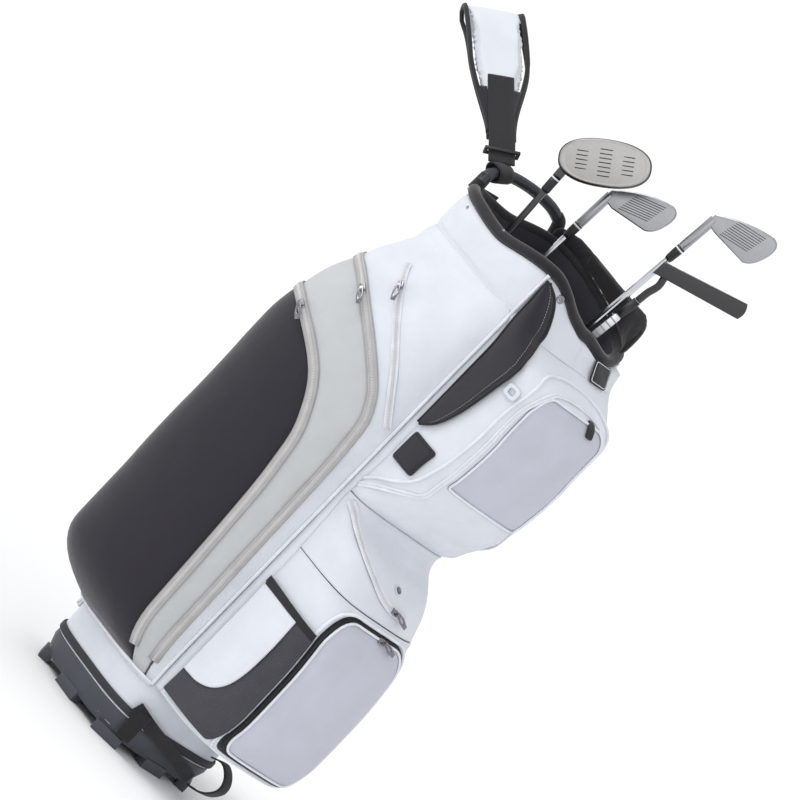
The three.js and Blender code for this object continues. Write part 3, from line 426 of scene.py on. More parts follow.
# ------------------------------------------------------------------ relief
def soft_noise(p, size, seed=0.0):
    """Smooth noise from -1 to 1 with features about size millimetres across."""
    return noise.noise(Vector((p.x / size + seed, p.y / size - seed, p.z / size + seed * 0.7)))


def folds(p, direction, size, amount, seed=0.0):
    """Long soft folds that run along a direction in space."""
    along = p.dot(direction)
    across = p - direction * along
    q = across / size + direction * (along / (size * 5)) + Vector((seed, seed, seed))
    return amount * noise.noise(q)


# ------------------------------------------------------------------ panels with any outline
def metres_across(surface, z, low, high):
    """Turns a surface's u into metres of cloth, measured round it at one height."""
    table, steps = [0.0], 90
    for k in range(steps):
        here, there = (surface(mix(low, high, (k + i) / steps), z) for i in (0, 1))
        table.append(table[-1] + (there - here).length * MM)

    def at(u):
        x = clamp((u - low) / (high - low)) * steps
        i = min(int(x), steps - 1)
        return mix(table[i], table[i + 1], x - i)

    return at


def rounded_box(u0, u1, z0, z1, ru, rz, side=(14, 14), corner=8, foot=1.0):
    """A closed outline in (u, z) with rounded corners, from the lower right; foot scales the low pair."""
    arcs = []
    for u, z, start, size in ((u1, z0, -90, foot), (u1, z1, 0, 1), (u0, z1, 90, 1), (u0, z0, 180, foot)):
        a, b = ru * size, rz * size
        centre = Vector((u + (a if u == u0 else -a), z + (b if z == z0 else -b)))
        turns = [math.radians(start + 90 * k / corner) for k in range(corner + 1)]
        arcs.append([centre + Vector((a * math.cos(turn), b * math.sin(turn))) for turn in turns])
    points = []
    for k, arc in enumerate(arcs):
        count, following = side[(k + 1) % 2], arcs[(k + 1) % 4][0]
        points += arc[:-1] + [arc[-1].lerp(following, i / count) for i in range(count)]
    return points


def panel(name, surface, outline, finish, hole=None, rings=10, thickness=4.0, relief=None, lift=0.0,
          body="bag"):
    """A closed padded panel on a surface inside an outline, or between an outline and a hole of equal count.
    relief(edge, p) lifts a point that lies edge millimetres in from the nearest edge."""
    count = len(outline)
    centre = sum((Vector(p) for p in outline), Vector((0, 0))) / count
    inner = [Vector(p) for p in hole] if hole else [centre] * count
    low, high = min(p[0] for p in outline), max(p[0] for p in outline)
    cloth = metres_across(surface, centre.y, low, high)
    top, under, uvs = [], [], []
    for k in range(rings + 1):
        x = mix(0.0 if hole else 0.06, 1.0, k / rings)
        t = x if hole else 1 - (1 - x) ** 1.4
        for j in range(count):
            at = inner[j].lerp(Vector(outline[j]), t)
            p, n = surface(at.x, at.y, lift), normal_on(surface, at.x, at.y)
            reach = (surface(*outline[j]) - surface(*inner[j])).length
            edge = min(1 - t, t if hole else 1.0) * reach
            if relief:
                p = p + n * relief(edge, p)
            top.append(p)
            under.append(p - n * thickness)
            uvs.append((cloth(at.x), at.y * MM))
    points = top + under
    uvs += uvs
    size = len(top)
    faces = []
    for k in range(rings):
        for j in range(count):
            a, b = k * count + j, k * count + (j + 1) % count
            faces += [(a, b, b + count, a + count), (size + a + count, size + b + count, size + b, size + a)]
    last = rings * count
    for j in range(count):
        a, b = j, (j + 1) % count
        faces.append((last + a, last + b, size + last + b, size + last + a))
        if hole:
            faces.append((b, a, size + a, size + b))
    if not hole:
        for base, ring in ((0, top), (size, under)):
            points.append(sum(ring[:count], Vector()) / count)
            uvs.append((cloth(centre.x), centre.y * MM))
            faces += [(len(points) - 1, base + j, base + (j + 1) % count) for j in range(count)]
    return make(name, points, faces, uvs, body, finish)


def frames_round(surface, outline, du=TURN_STEP, lift=0.0, closed=True):
    """Frames along an outline in (u, z)."""
    found, count = [], len(outline)
    for k, (u, z) in enumerate(outline):
        before = outline[k - 1] if k or closed else outline[k]
        after = outline[(k + 1) % count] if k < count - 1 or closed else outline[k]
        normal = normal_on(surface, u, z, du)
        found.append((surface(u, z) + normal * lift, (surface(*after) - surface(*before)).normalized(), normal))
    return found


PUFF_PRESSURE, PUFF_VOXEL, PUFF_STEPS = 4, 0.004, 20


def softened(name, node, width, finish, segments=2, angle=35):
    """The CAD node's own shape with its sharp edges rounded, standing for the node."""
    work = bmesh.new()
    work.from_mesh(frame["nodes"][node].data)
    bmesh.ops.remove_doubles(work, verts=work.verts, dist=1e-6)
    bmesh.ops.dissolve_limit(work, angle_limit=math.radians(1.0), verts=work.verts, edges=work.edges)
    mesh = bpy.data.meshes.new(name)
    work.to_mesh(mesh)
    work.free()
    piece = linked(name, mesh)
    bevel = piece.modifiers.new("edges", "BEVEL")
    bevel.width = width * MM
    bevel.segments = segments
    bevel.limit_method = "ANGLE"
    bevel.angle_limit = math.radians(angle)
    bevel.harden_normals = False
    mesh.polygons.foreach_set("use_smooth", [True] * len(mesh.polygons))
    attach(piece, frame["nodes"][node]["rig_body"])
    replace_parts(piece, node)
    finish_with(piece, finish)
    return piece


def swollen_mesh(piece):
    """The mesh that a piece's modifiers make, with the modifiers then taken off."""
    mesh = bpy.data.meshes.new_from_object(piece.evaluated_get(bpy.context.evaluated_depsgraph_get()))
    piece.modifiers.clear()
    return mesh


def puffed(piece, cap):
    """Swells a closed piece as stuffed fabric by simulation; no point moves by more than cap metres."""
    bpy.context.view_layer.update()
    remesh = piece.modifiers.new("remesh", "REMESH")
    remesh.mode = "VOXEL"
    remesh.voxel_size = PUFF_VOXEL
    remesh.use_smooth_shade = True
    start = swollen_mesh(piece)
    piece.data = start
    cloth = piece.modifiers.new("cloth", "CLOTH")
    cloth.settings.use_pressure = True
    cloth.settings.uniform_pressure_force = PUFF_PRESSURE
    cloth.settings.effector_weights.gravity = 0
    for k in range(1, PUFF_STEPS + 1):
        bpy.context.scene.frame_set(k)
    swollen = swollen_mesh(piece)
    bpy.context.scene.frame_set(1)
    for v in start.vertices:
        shift = swollen.vertices[v.index].co - v.co
        v.co += shift * (cap / max(shift.length, cap))
    finer = piece.modifiers.new("finer", "SUBSURF")
    finer.levels = finer.render_levels = 1


# ------------------------------------------------------------------ materials
def put(tree, kind, settings=None, **sockets):
    """Adds a shader node. settings are its properties, and each socket takes a value or another node's output."""
    node = tree.nodes.new("ShaderNode" + kind)
    for key, value in (settings or {}).items():
        setattr(node, key, value)
    for key, value in sockets.items():
        socket = node.inputs[int(key[1:])] if key[0] == "i" and key[1:].isdigit() else node.inputs[key]
        if isinstance(value, bpy.types.NodeSocket):
            tree.links.new(value, socket)
        else:
            socket.default_value = value
    return node


def linear(code):
    """A hex colour as linear RGBA."""
    parts = [int(code[k:k + 2], 16) / 255 for k in (0, 2, 4)]
    return [c / 12.92 if c < 0.04045 else ((c + 0.055) / 1.055) ** 2.4 for c in parts] + [1.0]


def shade(colour, amount):
    """A linear colour made lighter or darker."""
    return [min(c * amount, 1.0) for c in colour[:3]] + [1.0]


def start_material(name, where):
    """A new material, its tree, its shader and the coordinates it is drawn in, in metres."""
    material = bpy.data.materials.new(name)
    material.use_nodes = True
    tree = material.node_tree
    if where == "uv":
        at = put(tree, "UVMap", {"uv_map": UV}).outputs["UV"]
    else:
        at = put(tree, "TexCoord").outputs["Object"]
    return material, tree, tree.nodes["Principled BSDF"], at


def bands(tree, at, direction, pitch):
    """Soft ribs across a direction, pitch metres apart."""
    scale = 2 * math.pi / (20 * pitch)
    return put(tree, "TexWave", {"bands_direction": direction}, Vector=at, Scale=scale).outputs["Fac"]


def cloudy(tree, at, size, detail=3.0, rough=0.55):
    """Soft patches about size metres across."""
    return put(tree, "TexNoise", Vector=at, Scale=1 / size, Detail=detail, Roughness=rough).outputs["Fac"]


def maths(tree, how, a, b=0.0):
    return put(tree, "Math", {"operation": how}, i0=a, i1=b).outputs[0]


def ramp(tree, fac, low, high, first, second):
    """Two colours from a factor, changing between low and high."""
    node = put(tree, "ValToRGB", Fac=fac)
    node.color_ramp.elements[0].position, node.color_ramp.elements[1].position = low, high
    node.color_ramp.elements[0].color, node.color_ramp.elements[1].color = first, second
    return node.outputs["Color"]


def blend_colour(tree, fac, a, b, how="MIX"):
    return put(tree, "Mix", {"data_type": "RGBA", "blend_type": how}, i0=fac, i6=a, i7=b).outputs[2]


def raised(tree, height, depth, strength, over=None):
    """A bump of a depth in metres, on top of another one."""
    node = put(tree, "Bump", Height=height, Distance=depth, Strength=strength)
    if over:
        tree.links.new(over, node.inputs["Normal"])
    return node.outputs["Normal"]


def fabric(name, code, where="uv", creases=0.0011, vary=0.05, sheen=0.2, thread=0.86):
    """Coated plain-weave cloth: fine threads, soft creases and a slight change of shade."""
    rough, pitch, depth = 0.82, 0.0011, 0.00016
    material, tree, shader, at = start_material(name, where)
    colour = linear(code)
    if where == "uv":
        warp, weft = bands(tree, at, "X", pitch), bands(tree, at, "Y", pitch * 1.1)
    else:
        warp, weft = bands(tree, at, "DIAGONAL", pitch), bands(tree, at, "Z", pitch * 1.1)
    threads = maths(tree, "MULTIPLY", warp, weft)
    space = put(tree, "TexCoord").outputs["Object"]
    cloud = cloudy(tree, space, 0.05, 4.0)
    base = ramp(tree, cloud, 0.3, 0.7, shade(colour, 1 - vary), shade(colour, 1 + vary * 0.4))
    dark = blend_colour(tree, 1.0, base, shade([1, 1, 1], thread), "MULTIPLY")
    tree.links.new(blend_colour(tree, threads, dark, base), shader.inputs["Base Color"])
    soft = raised(tree, cloudy(tree, space, 0.03, 3.0, 0.5), creases * 2.2, 0.55)
    fine = raised(tree, cloudy(tree, space, 0.009, 2.0, 0.6), creases * 0.35, 0.5, soft)
    tree.links.new(raised(tree, threads, depth, 0.8, fine), shader.inputs["Normal"])
    worn = maths(tree, "MULTIPLY_ADD", cloud, 0.12)
    worn.node.inputs[2].default_value = rough - 0.06
    tree.links.new(worn, shader.inputs["Roughness"])
    shader.inputs["Sheen Weight"].default_value = sheen
    shader.inputs["Sheen Roughness"].default_value = 0.5
    shader.inputs["Specular IOR Level"].default_value = 0.3
    return material


def ribbed(name, code, direction, pitch, cross, depth, gap=0.35):
    """Webbing, tape or knitted mesh: ribs one way and finer picks the other way."""
    material, tree, shader, at = start_material(name, "uv")
    colour = linear(code)
    other = "Y" if direction == "X" else "X"
    rib, pick = bands(tree, at, direction, pitch), bands(tree, at, other, cross)
    both = maths(tree, "MULTIPLY_ADD", pick, 0.4)
    tree.links.new(maths(tree, "MULTIPLY", rib, 0.6), both.node.inputs[2])
    space = put(tree, "TexCoord").outputs["Object"]
    cloud = cloudy(tree, space, 0.02, 3.0)
    base = ramp(tree, both, 0.1, 0.75, shade(colour, gap), shade(colour, 1.12))
    worn = ramp(tree, cloud, 0.35, 0.75, [0.88, 0.88, 0.88, 1], [1, 1, 1, 1])
    tree.links.new(blend_colour(tree, 1.0, base, worn, "MULTIPLY"), shader.inputs["Base Color"])
    tree.links.new(raised(tree, both, depth, 0.9), shader.inputs["Normal"])
    shader.inputs["Roughness"].default_value = 0.85
    shader.inputs["Sheen Weight"].default_value = 0.15
    return material


def moulded(name, code, rough, grain=0.0009, depth=0.00012, coat=0.0):
    """Moulded plastic, rubber or paint with a fine grain and slight handling wear."""
    material, tree, shader, at = start_material(name, "object")
    colour = linear(code)
    cloud = cloudy(tree, at, 0.04, 5.0, 0.6)
    tree.links.new(ramp(tree, cloud, 0.3, 0.7, shade(colour, 0.92), shade(colour, 1.08)),
                   shader.inputs["Base Color"])
    worn = maths(tree, "MULTIPLY_ADD", cloudy(tree, at, 0.012, 4.0), 0.2)
    worn.node.inputs[2].default_value = rough - 0.1
    tree.links.new(worn, shader.inputs["Roughness"])
    cells = put(tree, "TexVoronoi", Vector=at, Scale=1 / grain).outputs["Distance"]
    tree.links.new(raised(tree, cells, depth, 0.5), shader.inputs["Normal"])
    shader.inputs["Coat Weight"].default_value = coat
    shader.inputs["Coat Roughness"].default_value = 0.12
    return material


def brushed(name, code, rough, spread=0.12):
    """Plated or satin metal with fine lines and faint smudges."""
    line, depth = 0.0006, 0.00003
    material, tree, shader, at = start_material(name, "object")
    colour = linear(code)
    long = put(tree, "Mapping", Vector=at, Scale=(1.0, 1.0, 0.06)).outputs["Vector"]
    lines = cloudy(tree, long, line, 3.0, 0.7)
    smudge = cloudy(tree, at, 0.012, 4.0)
    tone = ramp(tree, lines, 0.3, 0.7, shade(colour, 0.86), shade(colour, 1.05))
    tree.links.new(tone, shader.inputs["Base Color"])
    worn = maths(tree, "MULTIPLY_ADD", smudge, spread)
    worn.node.inputs[2].default_value = rough - spread / 2
    tree.links.new(worn, shader.inputs["Roughness"])
    tree.links.new(raised(tree, lines, depth, 0.6), shader.inputs["Normal"])
    shader.inputs["Metallic"].default_value = 1.0
    return material


WHITE = (fabric("white_cloth", "e4e8f0"), "white_fabric")
WHITE_PAD = (fabric("white_padded_cloth", "e4e8f0", where="object"), "white_fabric")
# The white cloth made darker as painted shade, for front faces that turn away from the key lamp: the upper pocket's
# face and the cooler's lid, floor and ceiling.
PAINTED_SHADE_WHITE = (fabric("cool_white_cloth", "c9ccd8", creases=0.0008), "shade_fabric")
BLACK = (fabric("black_cloth", "2b2833", creases=0.0007, vary=0.1, sheen=0.35, thread=0.6), "black_fabric")
BLACK_PAD = (fabric("black_padded_cloth", "222126", where="object", vary=0.12, sheen=0.3, thread=0.6),
             "black_fabric")
GREY = (fabric("grey_cloth", "cfd2d5", creases=0.0012, thread=0.78), "grey_fabric")
MESH = (ribbed("knitted_mesh", "484650", "X", 0.0026, 0.0013, 0.0006, gap=0.25), "mesh_fabric")
WEBBING = (ribbed("black_webbing", "1f1e22", "X", 0.0019, 0.0011, 0.0004), "webbing")
BINDING = (ribbed("black_binding", "1f1e22", "Y", 0.0012, 0.0016, 0.0002), "webbing")
TAPE = (ribbed("zip_tape_light", "c2bfbf", "Y", 0.0014, 0.0011, 0.00025, gap=0.75), "zip_tape")
WHITE_TAPE = (ribbed("zip_tape_white", "e2e5ec", "Y", 0.0014, 0.0011, 0.00025, gap=0.8), "white_fabric")
PIPING = (ribbed("white_piping", "e6e9f0", "Y", 0.0016, 0.0022, 0.0002, gap=0.86), "white_fabric")
GREY_PIPING = (ribbed("grey_piping", "a9a8a9", "Y", 0.0016, 0.0022, 0.0002, gap=0.8), "grey_fabric")
WHITE_THREAD = (ribbed("white_thread", "f0f2f6", "X", 0.0006, 0.0006, 0.0001, gap=0.8), "white_fabric")
GREY_THREAD = (ribbed("grey_thread", "b3b5b6", "X", 0.0006, 0.0006, 0.0001, gap=0.7), "grey_fabric")
BLACK_THREAD = (ribbed("black_thread", "1c1b1f", "X", 0.0006, 0.0006, 0.0001), "black_fabric")
DARK_PLASTIC = (moulded("base_plastic", "3f424a", 0.55), "dark_plastic")
HANDLE_PLASTIC = (moulded("handle_plastic", "2a2b33", 0.48), "dark_plastic")
BLACK_PLASTIC = (moulded("black_plastic", "1f1f22", 0.42), "black_plastic")
COIL = (moulded("zip_coil_light", "d9d8d8", 0.35, coat=0.2), "zip_tape")
BLACK_COIL = (moulded("zip_coil_black", "19191b", 0.3, coat=0.3), "webbing")
BAND = (moulded("band_rubber", "2c2d33", 0.7), "band_rubber")
GUNMETAL = (brushed("gunmetal", "8d8d93", 0.24), "gunmetal")
STEEL = (brushed("satin_steel", "a8a9ad", 0.32), "steel")
CHROME = (brushed("chrome", "d0d3d8", 0.12, spread=0.06), "shaft_steel")
TITANIUM = (brushed("titanium", "b2b0ae", 0.34), "titanium")
CROWN = (moulded("crown_paint", "26262a", 0.28, coat=0.8), "head_paint")
PUTTER_PAINT = (moulded("putter_black", "202024", 0.36, coat=0.3), "head_paint")
GRAPHITE = (moulded("graphite", "222226", 0.3, coat=0.7), "graphite")
GRIP = (moulded("grip_rubber", "1c1c1d", 0.88, grain=0.002, depth=0.0005), "grip_rubber")
RING_WHITE = (moulded("ferrule_ring", "eceef2", 0.3), "black_plastic")
SCORE = (moulded("score_line", "2b2a2c", 0.5), "titanium")


# ------------------------------------------------------------------ camera, floor and light
def stage_and_light():
    """The camera, a pale floor, a soft studio sky and two wide lamps."""
    back = Vector((math.sin(AZIMUTH) * math.cos(ELEVATION), -math.cos(AZIMUTH) * math.cos(ELEVATION),
                   math.sin(ELEVATION)))
    right = Vector((math.cos(AZIMUTH), math.sin(AZIMUTH), 0))
    up = back.cross(right)
    across = right * math.cos(ROLL) + up * math.sin(ROLL)
    upright = up * math.cos(ROLL) - right * math.sin(ROLL)
    lens = bpy.data.cameras.new("camera")
    lens.lens, lens.sensor_width = FOCAL_LENGTH, SENSOR
    lens.clip_end = 200
    camera = linked("camera", lens)
    rows = [list(row) for row in zip(across, upright, back, TARGET + back * DISTANCE)]
    camera.matrix_world = Matrix(rows + [[0, 0, 0, 1]])
    bpy.context.scene.camera = camera

    mesh = bpy.data.meshes.new("floor")
    mesh.from_pydata([(x * FLOOR_REACH, y * FLOOR_REACH, 0) for x, y in ((-1, -1), (1, -1), (1, 1), (-1, 1))], [],
                     [(0, 1, 2, 3)])
    paint = bpy.data.materials.new("floor_paint")
    paint.use_nodes = True
    shader = paint.node_tree.nodes["Principled BSDF"]
    shader.inputs["Base Color"].default_value = (FLOOR_WHITE, FLOOR_WHITE, FLOOR_WHITE, 1)
    shader.inputs["Roughness"].default_value = 0.9
    shader.inputs["Specular IOR Level"].default_value = 0.1
    mesh.materials.append(paint)
    linked("floor", mesh)

    sky = bpy.data.worlds.new("studio")
    sky.use_nodes = True
    sky.node_tree.nodes["Background"].inputs["Color"].default_value = (0.985, 0.99, 1.0, 1)
    sky.node_tree.nodes["Background"].inputs["Strength"].default_value = SKY
    bpy.context.scene.world = sky
    for name, towards, strength, soft in LAMPS:
        lamp = bpy.data.lights.new(name, "SUN")
        lamp.energy, lamp.angle = strength, math.radians(soft)
        linked(name, lamp).rotation_euler = Vector(towards).to_track_quat("Z", "Y").to_euler()
    bpy.context.scene.view_settings.view_transform = "Standard"


# ------------------------------------------------------------------ the tube, cuff and rim
def ring(half, height, count=112, swell=None):
    """A ring of the bag's section. height and swell may depend on the angle in radians."""
    found = []
    for k in range(count):
        angle = 2 * math.pi * k / count
        z = height(angle) if callable(height) else height
        found.append(section(half + (swell(angle, z) if swell else 0), angle, z))
    return found


def tube_and_base():
    """The tube's cloth with its inner face, the base moulding, its ribbed band and the wells."""
    foot, shoulder, top, inset, steps = 20.4, 44.4, 803.6, 114, 46
    swell = lambda angle, z: 1.1 * soft_noise(section(120, angle, z), 70, 3)
    rings = [ring(inset, foot), ring(inset, shoulder)]
    for k in range(steps + 1):
        z = shoulder + (top - shoulder) * k / steps
        rings.append(ring(half_at(z) - (2.2 if k == steps else 0), z, swell=swell))
    rings += [ring(half_at(z) - 3.6, z) for z in (802.5, 600, 400, 200, 60)]
    rings += [ring(inset - 3, shoulder + 8), ring(inset - 3, foot)]
    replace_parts(loft("tube_cloth", rings, WHITE, closed=True), "main_tube")
    softened("base_moulding", "base_tray", 1.6, DARK_PLASTIC, 3)
    ribs = ((0, 47), (1.8, 47.2), (2.8, 49), (2.4, 51), (2.9, 52.5), (2.4, 54), (2.8, 56), (1.8, 57.8), (0, 58))
    band = [ring(half_at(58) + 0.6 + out, z) for out, z in ribs]
    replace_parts(loft("base_band_rib", band, BAND, closed=True), "base_band")
    softened("wells", "well_divider", 0.8, BLACK_PLASTIC)


CUFF_FOOT, CUFF_EDGE, CUFF_SIDES = 799.2, 9.6, 160
RIM_HALF, RIM_WIDE, RIM_TALL = 126.2, 7.2, 8.0
RIVETS = [("rivet_a", -118.9, 848.7, 3.6), ("rivet_b", -85.6, 866, 3.6), ("rivet_c", -51.1, 881, 3.6),
          ("cuff_eyelet", -33.2, 859, 6.6)]


def cuff():
    """The cuff, filled out in front to carry on the pocket's slope, and the lining of the mouth."""
    edge = lambda angle: rim_at(angle) - CUFF_EDGE

    def wrinkled(angle, z):
        p = section(130, angle, z)
        seam = math.exp(-max(z - 801, 0) / 7)
        wave = 2.1 * folds(p, Vector((0.35, 0.2, 0.9)), 26, 1, 4) + 0.7 * soft_noise(p, 15, 9)
        return -1.0 * seam + (1 - seam) * wave

    def filled(points):
        found = []
        for p in points:
            corner = CORNER * half_at(p.z)
            across = abs(p.y) / (corner + FRONT_FLARE)
            if p.x > 0 and across < 1:
                reach = through(FRONT_KNOTS, p.z) * (1 - across ** FRONT_POWER) ** (1 / FRONT_POWER)
                p = Vector((max(p.x, corner + FRONT_SET + reach + 0.6 * soft_noise(p, 30, 2)), p.y, p.z))
            found.append(p)
        return found

    steps = 18
    rings = [filled(ring(129.0, CUFF_FOOT, CUFF_SIDES))]
    for k in range(steps + 1):
        t = k / steps
        height = lambda angle, t=t: mix(CUFF_FOOT + 0.6, edge(angle), t)
        lean = 1.0 + 1.6 * min(1, 4 * t) - 2.0 * t ** 6
        plain = ring(TOP_HALF + lean, height, CUFF_SIDES, swell=wrinkled)
        rings.append(filled(plain) if k < steps else plain)
    halfway = lambda angle: mix(804.1, edge(angle), 0.5)
    rings += [ring(half, height, CUFF_SIDES) for half, height in ((121.2, edge), (120.9, halfway), (120.8, 804.1))]
    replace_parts(loft("cuff_cloth", rings, WHITE, closed=True), "top_cuff")
    above = lambda angle: edge(angle) + 8
    lining = [ring(half, height)
              for half, height in ((120.7, 804.3), (120.7, above), (119.7, above), (119.7, 804.3))]
    loft("mouth_lining", lining, BLACK, closed=True)
    seam = [section(132.2, math.radians(k * 2), 808.5) for k in range(24, 158)]
    beads("cuff_stitches", evenly(line_frames(seam), 4.2), (2.7, 0.6, 0.5), WHITE_THREAD, lift=-0.2)


def rim():
    """The padded roll round the mouth with its stitches, and the rivets under it."""
    roll = lambda angle, z: 0.5 * soft_noise(section(126, angle, z), 18, 5)
    rolls = []
    for c, s in circle(14):
        lift = lambda angle, s=s: rim_at(angle) - 1 + RIM_TALL * s
        rolls.append(ring(RIM_HALF + RIM_WIDE * c, lift, 150, roll))
    piece = loft("rim_roll", rolls, BLACK_PAD, closed=True)
    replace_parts(piece, "rim_trim")
    under = [section(132.9, math.radians(k * 2), rim_at(math.radians(k * 2)) - 4.6) for k in range(181)]
    beads("rim_stitches", evenly(line_frames(under), 4.4), (2.8, 0.7, 0.6), BLACK_THREAD, lift=0.2)
    for name, angle, z, radius in RIVETS:
        rise = radius * 0.35
        profile = [(0, 0), (radius, 0), (radius, rise * 0.6), (radius * 0.75, rise), (radius * 0.45, rise * 0.4),
                   (radius * 0.3, rise * 0.9), (0, rise)]
        turned(name, profile, wall_point(angle, z, 1.2), normal_on(wall_point, angle, z), GUNMETAL, "bag", 24)


def line_frames(points):
    """Frames of a line of points on an upright wall, facing away from the bag's middle."""
    found = []
    for k, p in enumerate(points):
        tangent = (points[min(k + 1, len(points) - 1)] - points[max(k - 1, 0)]).normalized()
        normal = Vector((p.x, p.y, 0)).normalized()
        found.append((p, tangent, (normal - tangent * normal.dot(tangent)).normalized()))
    return found


def lip():
    """The padded lip that stands up along the far side of the mouth."""
    columns, top, rings = 46, 906, []
    for k in range(columns + 1):
        t = k / columns
        angle = math.radians(mix(145, 43, t))
        foot = rim_at(angle) + 4.5
        ease = min(1, 7 * min(t, 1 - t)) ** 0.5
        crest = foot + (top - foot) * mix(0.55, 1, ease) - 1
        loop = []
        for c, s in circle(20):
            across = 5.6 * power(c, 0.7) * mix(0.5, 1, ease)
            high = power(s, 0.7)
            loop.append(section(125 + across, angle, mix(foot, crest, (high + 1) / 2)))
        rings.append(loop)
    piece = loft("far_lip_padding", rings, BLACK_PAD)
    puffed(piece, 0.003)
    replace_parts(piece, "far_lip")


# ------------------------------------------------------------------ side pockets
def shifted(curve, way):
    """A seam moved half a zip's gap to one side."""
    move = Vector((0.006, 2)) * way
    return lambda t: curve(t) + move


def mirrored_copy(piece, slot):
    """The same piece on the far side."""
    name = piece.name.replace("near_", "far_")
    mesh = piece.data.copy()
    mesh.transform(Matrix.Scale(-1, 4, (0, 1, 0)))
    mesh.flip_normals()
    other = linked(name, mesh)
    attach(other, "bag")
    return other


def pocket_cloth():
    """Face, gusset and shoulder of the near pocket, and the same on the far side."""
    slope, pull_line = Vector((0.45, 0, 0.9)).normalized(), Vector((0.75, 0, -0.65))

    def face_relief(a, b, p):
        edge = (1 - a) * 260
        return -3.2 * math.exp(-edge / 7) + 1.6 * soft_noise(p, 120, 2) + 0.5 * soft_noise(p, 42, 7)

    def gusset_relief(a, b, p):
        edge = min(a, 1 - a) * 60
        wave = 1.3 * folds(p, slope, 30, 1, 5) * min(1, edge / 8)
        return -1.6 * math.exp(-edge / 6) + wave + 1.5 * math.sin(a * math.pi)

    def shoulder_relief(a, b, p):
        edge = min(a, 1 - a) * 80
        pull = clamp((p.z - 600) / 160)
        wave = 1.6 * soft_noise(p, 60, 8) + pull * 2.6 * folds(p, pull_line, 24, 1, 12)
        return -1.4 * math.exp(-edge / 6) - 4.4 * clamp((p.z - 783) / 17) + min(1, edge / 10) * wave

    parts = [("pocket_face", SPINE_EDGE, shifted(INNER_SEAM, -1), BLACK, face_relief, 64, 96),
             ("pocket_gusset", shifted(INNER_SEAM, 1), shifted(OUTER_SEAM, -1), GREY, gusset_relief, 22, 110),
             ("pocket_shoulder", shifted(OUTER_SEAM, 1), CUFF_SEAM, WHITE, shoulder_relief, 34, 120)]
    for name, first, second, finish, relief, columns, rows in parts:
        patch = between(side_point, first, second)
        piece = sheet("near_" + name + "_cloth", patch, columns, rows, CLOTH, finish, relief)
        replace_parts(piece, "near_" + name)
        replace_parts(mirrored_copy(piece, finish[1]), "far_" + name)


def pocket_zips():
    """The three zips of each side pocket."""
    grey, white = (TAPE, COIL, GREY_PIPING, GREY_THREAD), (WHITE_TAPE, COIL, PIPING, WHITE_THREAD)
    for name, curve, start, end, width, finishes in (("zip_lower", INNER_SEAM, 0.03, 0.985, 12.5, grey),
                                                     ("zip_upper", OUTER_SEAM, 0.03, 0.985, 12.5, grey),
                                                     ("zip_slash", SLASH_SEAM, 0.0, 1.0, 8, white)):
        frames = frames_on(side_point, curve, 110, start, end, du=SEAM_STEP)
        made = zip_line("near_" + name, frames, width, finishes, 0.9)
        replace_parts(made[0], "near_" + name)
        tape, coil, cord, thread = finishes
        for piece, finish in zip(made, (tape, coil, cord, cord, thread, thread)):
            mirrored_copy(piece, finish[1])


def pocket_edges():
    """Piping up the corner seams, the strip of cloth behind it, and each side pocket's underside and hem."""
    for name, way in (("near_border_piping", -1), ("far_border_piping", 1)):
        top = min(873, rim_at(math.radians(46 * way)) - 7)
        corner = [side_point(SEAM_END, mix(102, 790, k / 110), 0.8) for k in range(111)]
        for k in range(24):
            turn, half = math.radians(mix(-46.4, -46.0, k / 23)), mix(131.4, 133.2, clamp(k / 5))
            corner.append(section(half, turn, mix(800, top, k / 23)))
        tube(name, line_frames([Vector((p.x, p.y * -way, p.z)) for p in corner]), 2.6, PIPING)
    outwards, hem_z = Vector((0.55, -0.83, 0)), 103

    def corner_strip(a, b):
        z = mix(104, 801, b)
        bow = outwards * (1.4 * math.sin(math.pi * a))
        return side_point(0.99, z, -2.2).lerp(front_point(-85.6, z, -1.6), a) + bow

    mirrored_copy(sheet("near_corner_strip", corner_strip, 6, 150, 1.6, WHITE, outward=outwards), WHITE[1])

    def under(a, b):
        out = side_point(mix(0.0, SEAM_END, a), hem_z)
        angle = math.degrees(math.atan2(out.y, out.x))
        return out.lerp(wall_point(angle, hem_z - 7, 1.5), b)

    mirrored_copy(sheet("near_pocket_underside", under, 60, 6, 2.0, WHITE, outward=Vector((0, 0, -1))), WHITE[1])
    low = [(mix(0.0, SEAM_END, k / 60), hem_z) for k in range(61)]
    hem = frames_round(side_point, low, SEAM_STEP, 0.4, closed=False)
    mirrored_copy(tube("near_hem_piping", hem, 2.2, PIPING), PIPING[1])


def zip_line(name, frames, width, finishes, lift):
    """A zip on a line of frames: tape, coil, edging on both sides and a row of stitches on both sides."""
    tape, coil, cord, thread = finishes
    made = [ribbon(name + "_tape", frames, width, 1.0, tape, lift=lift, crown=0.3),
            beads(name + "_coil", evenly(frames, 2.1), (1.35, 4.4, 1.15), coil, lift=lift + 1.5)]
    sides = ((-1, "a"), (1, "b"))
    for side, letter in sides:
        out = side * (width / 2 + 0.6)
        edge = [(p + t.cross(n).normalized() * out + n * (lift + 0.2), t, n) for p, t, n in frames]
        made.append(tube(name + "_edge_" + letter, edge, 1.05, cord, sides=6))
    for side, letter in sides:
        made.append(beads(name + "_stitch_" + letter, evenly(frames, 3.8), (2.4, 0.55, 0.45), thread,
                          lift=lift + 1.35, offset=side * (width / 2 - 2.2)))
    return made


# ------------------------------------------------------------------ front pockets
def mirrored_line(half, peak):
    """A curve over the front: the near half's points, a peak, and the same points on the far side."""
    return spline(half + [(0, peak)] + [(-u, z) for u, z in reversed(half)])


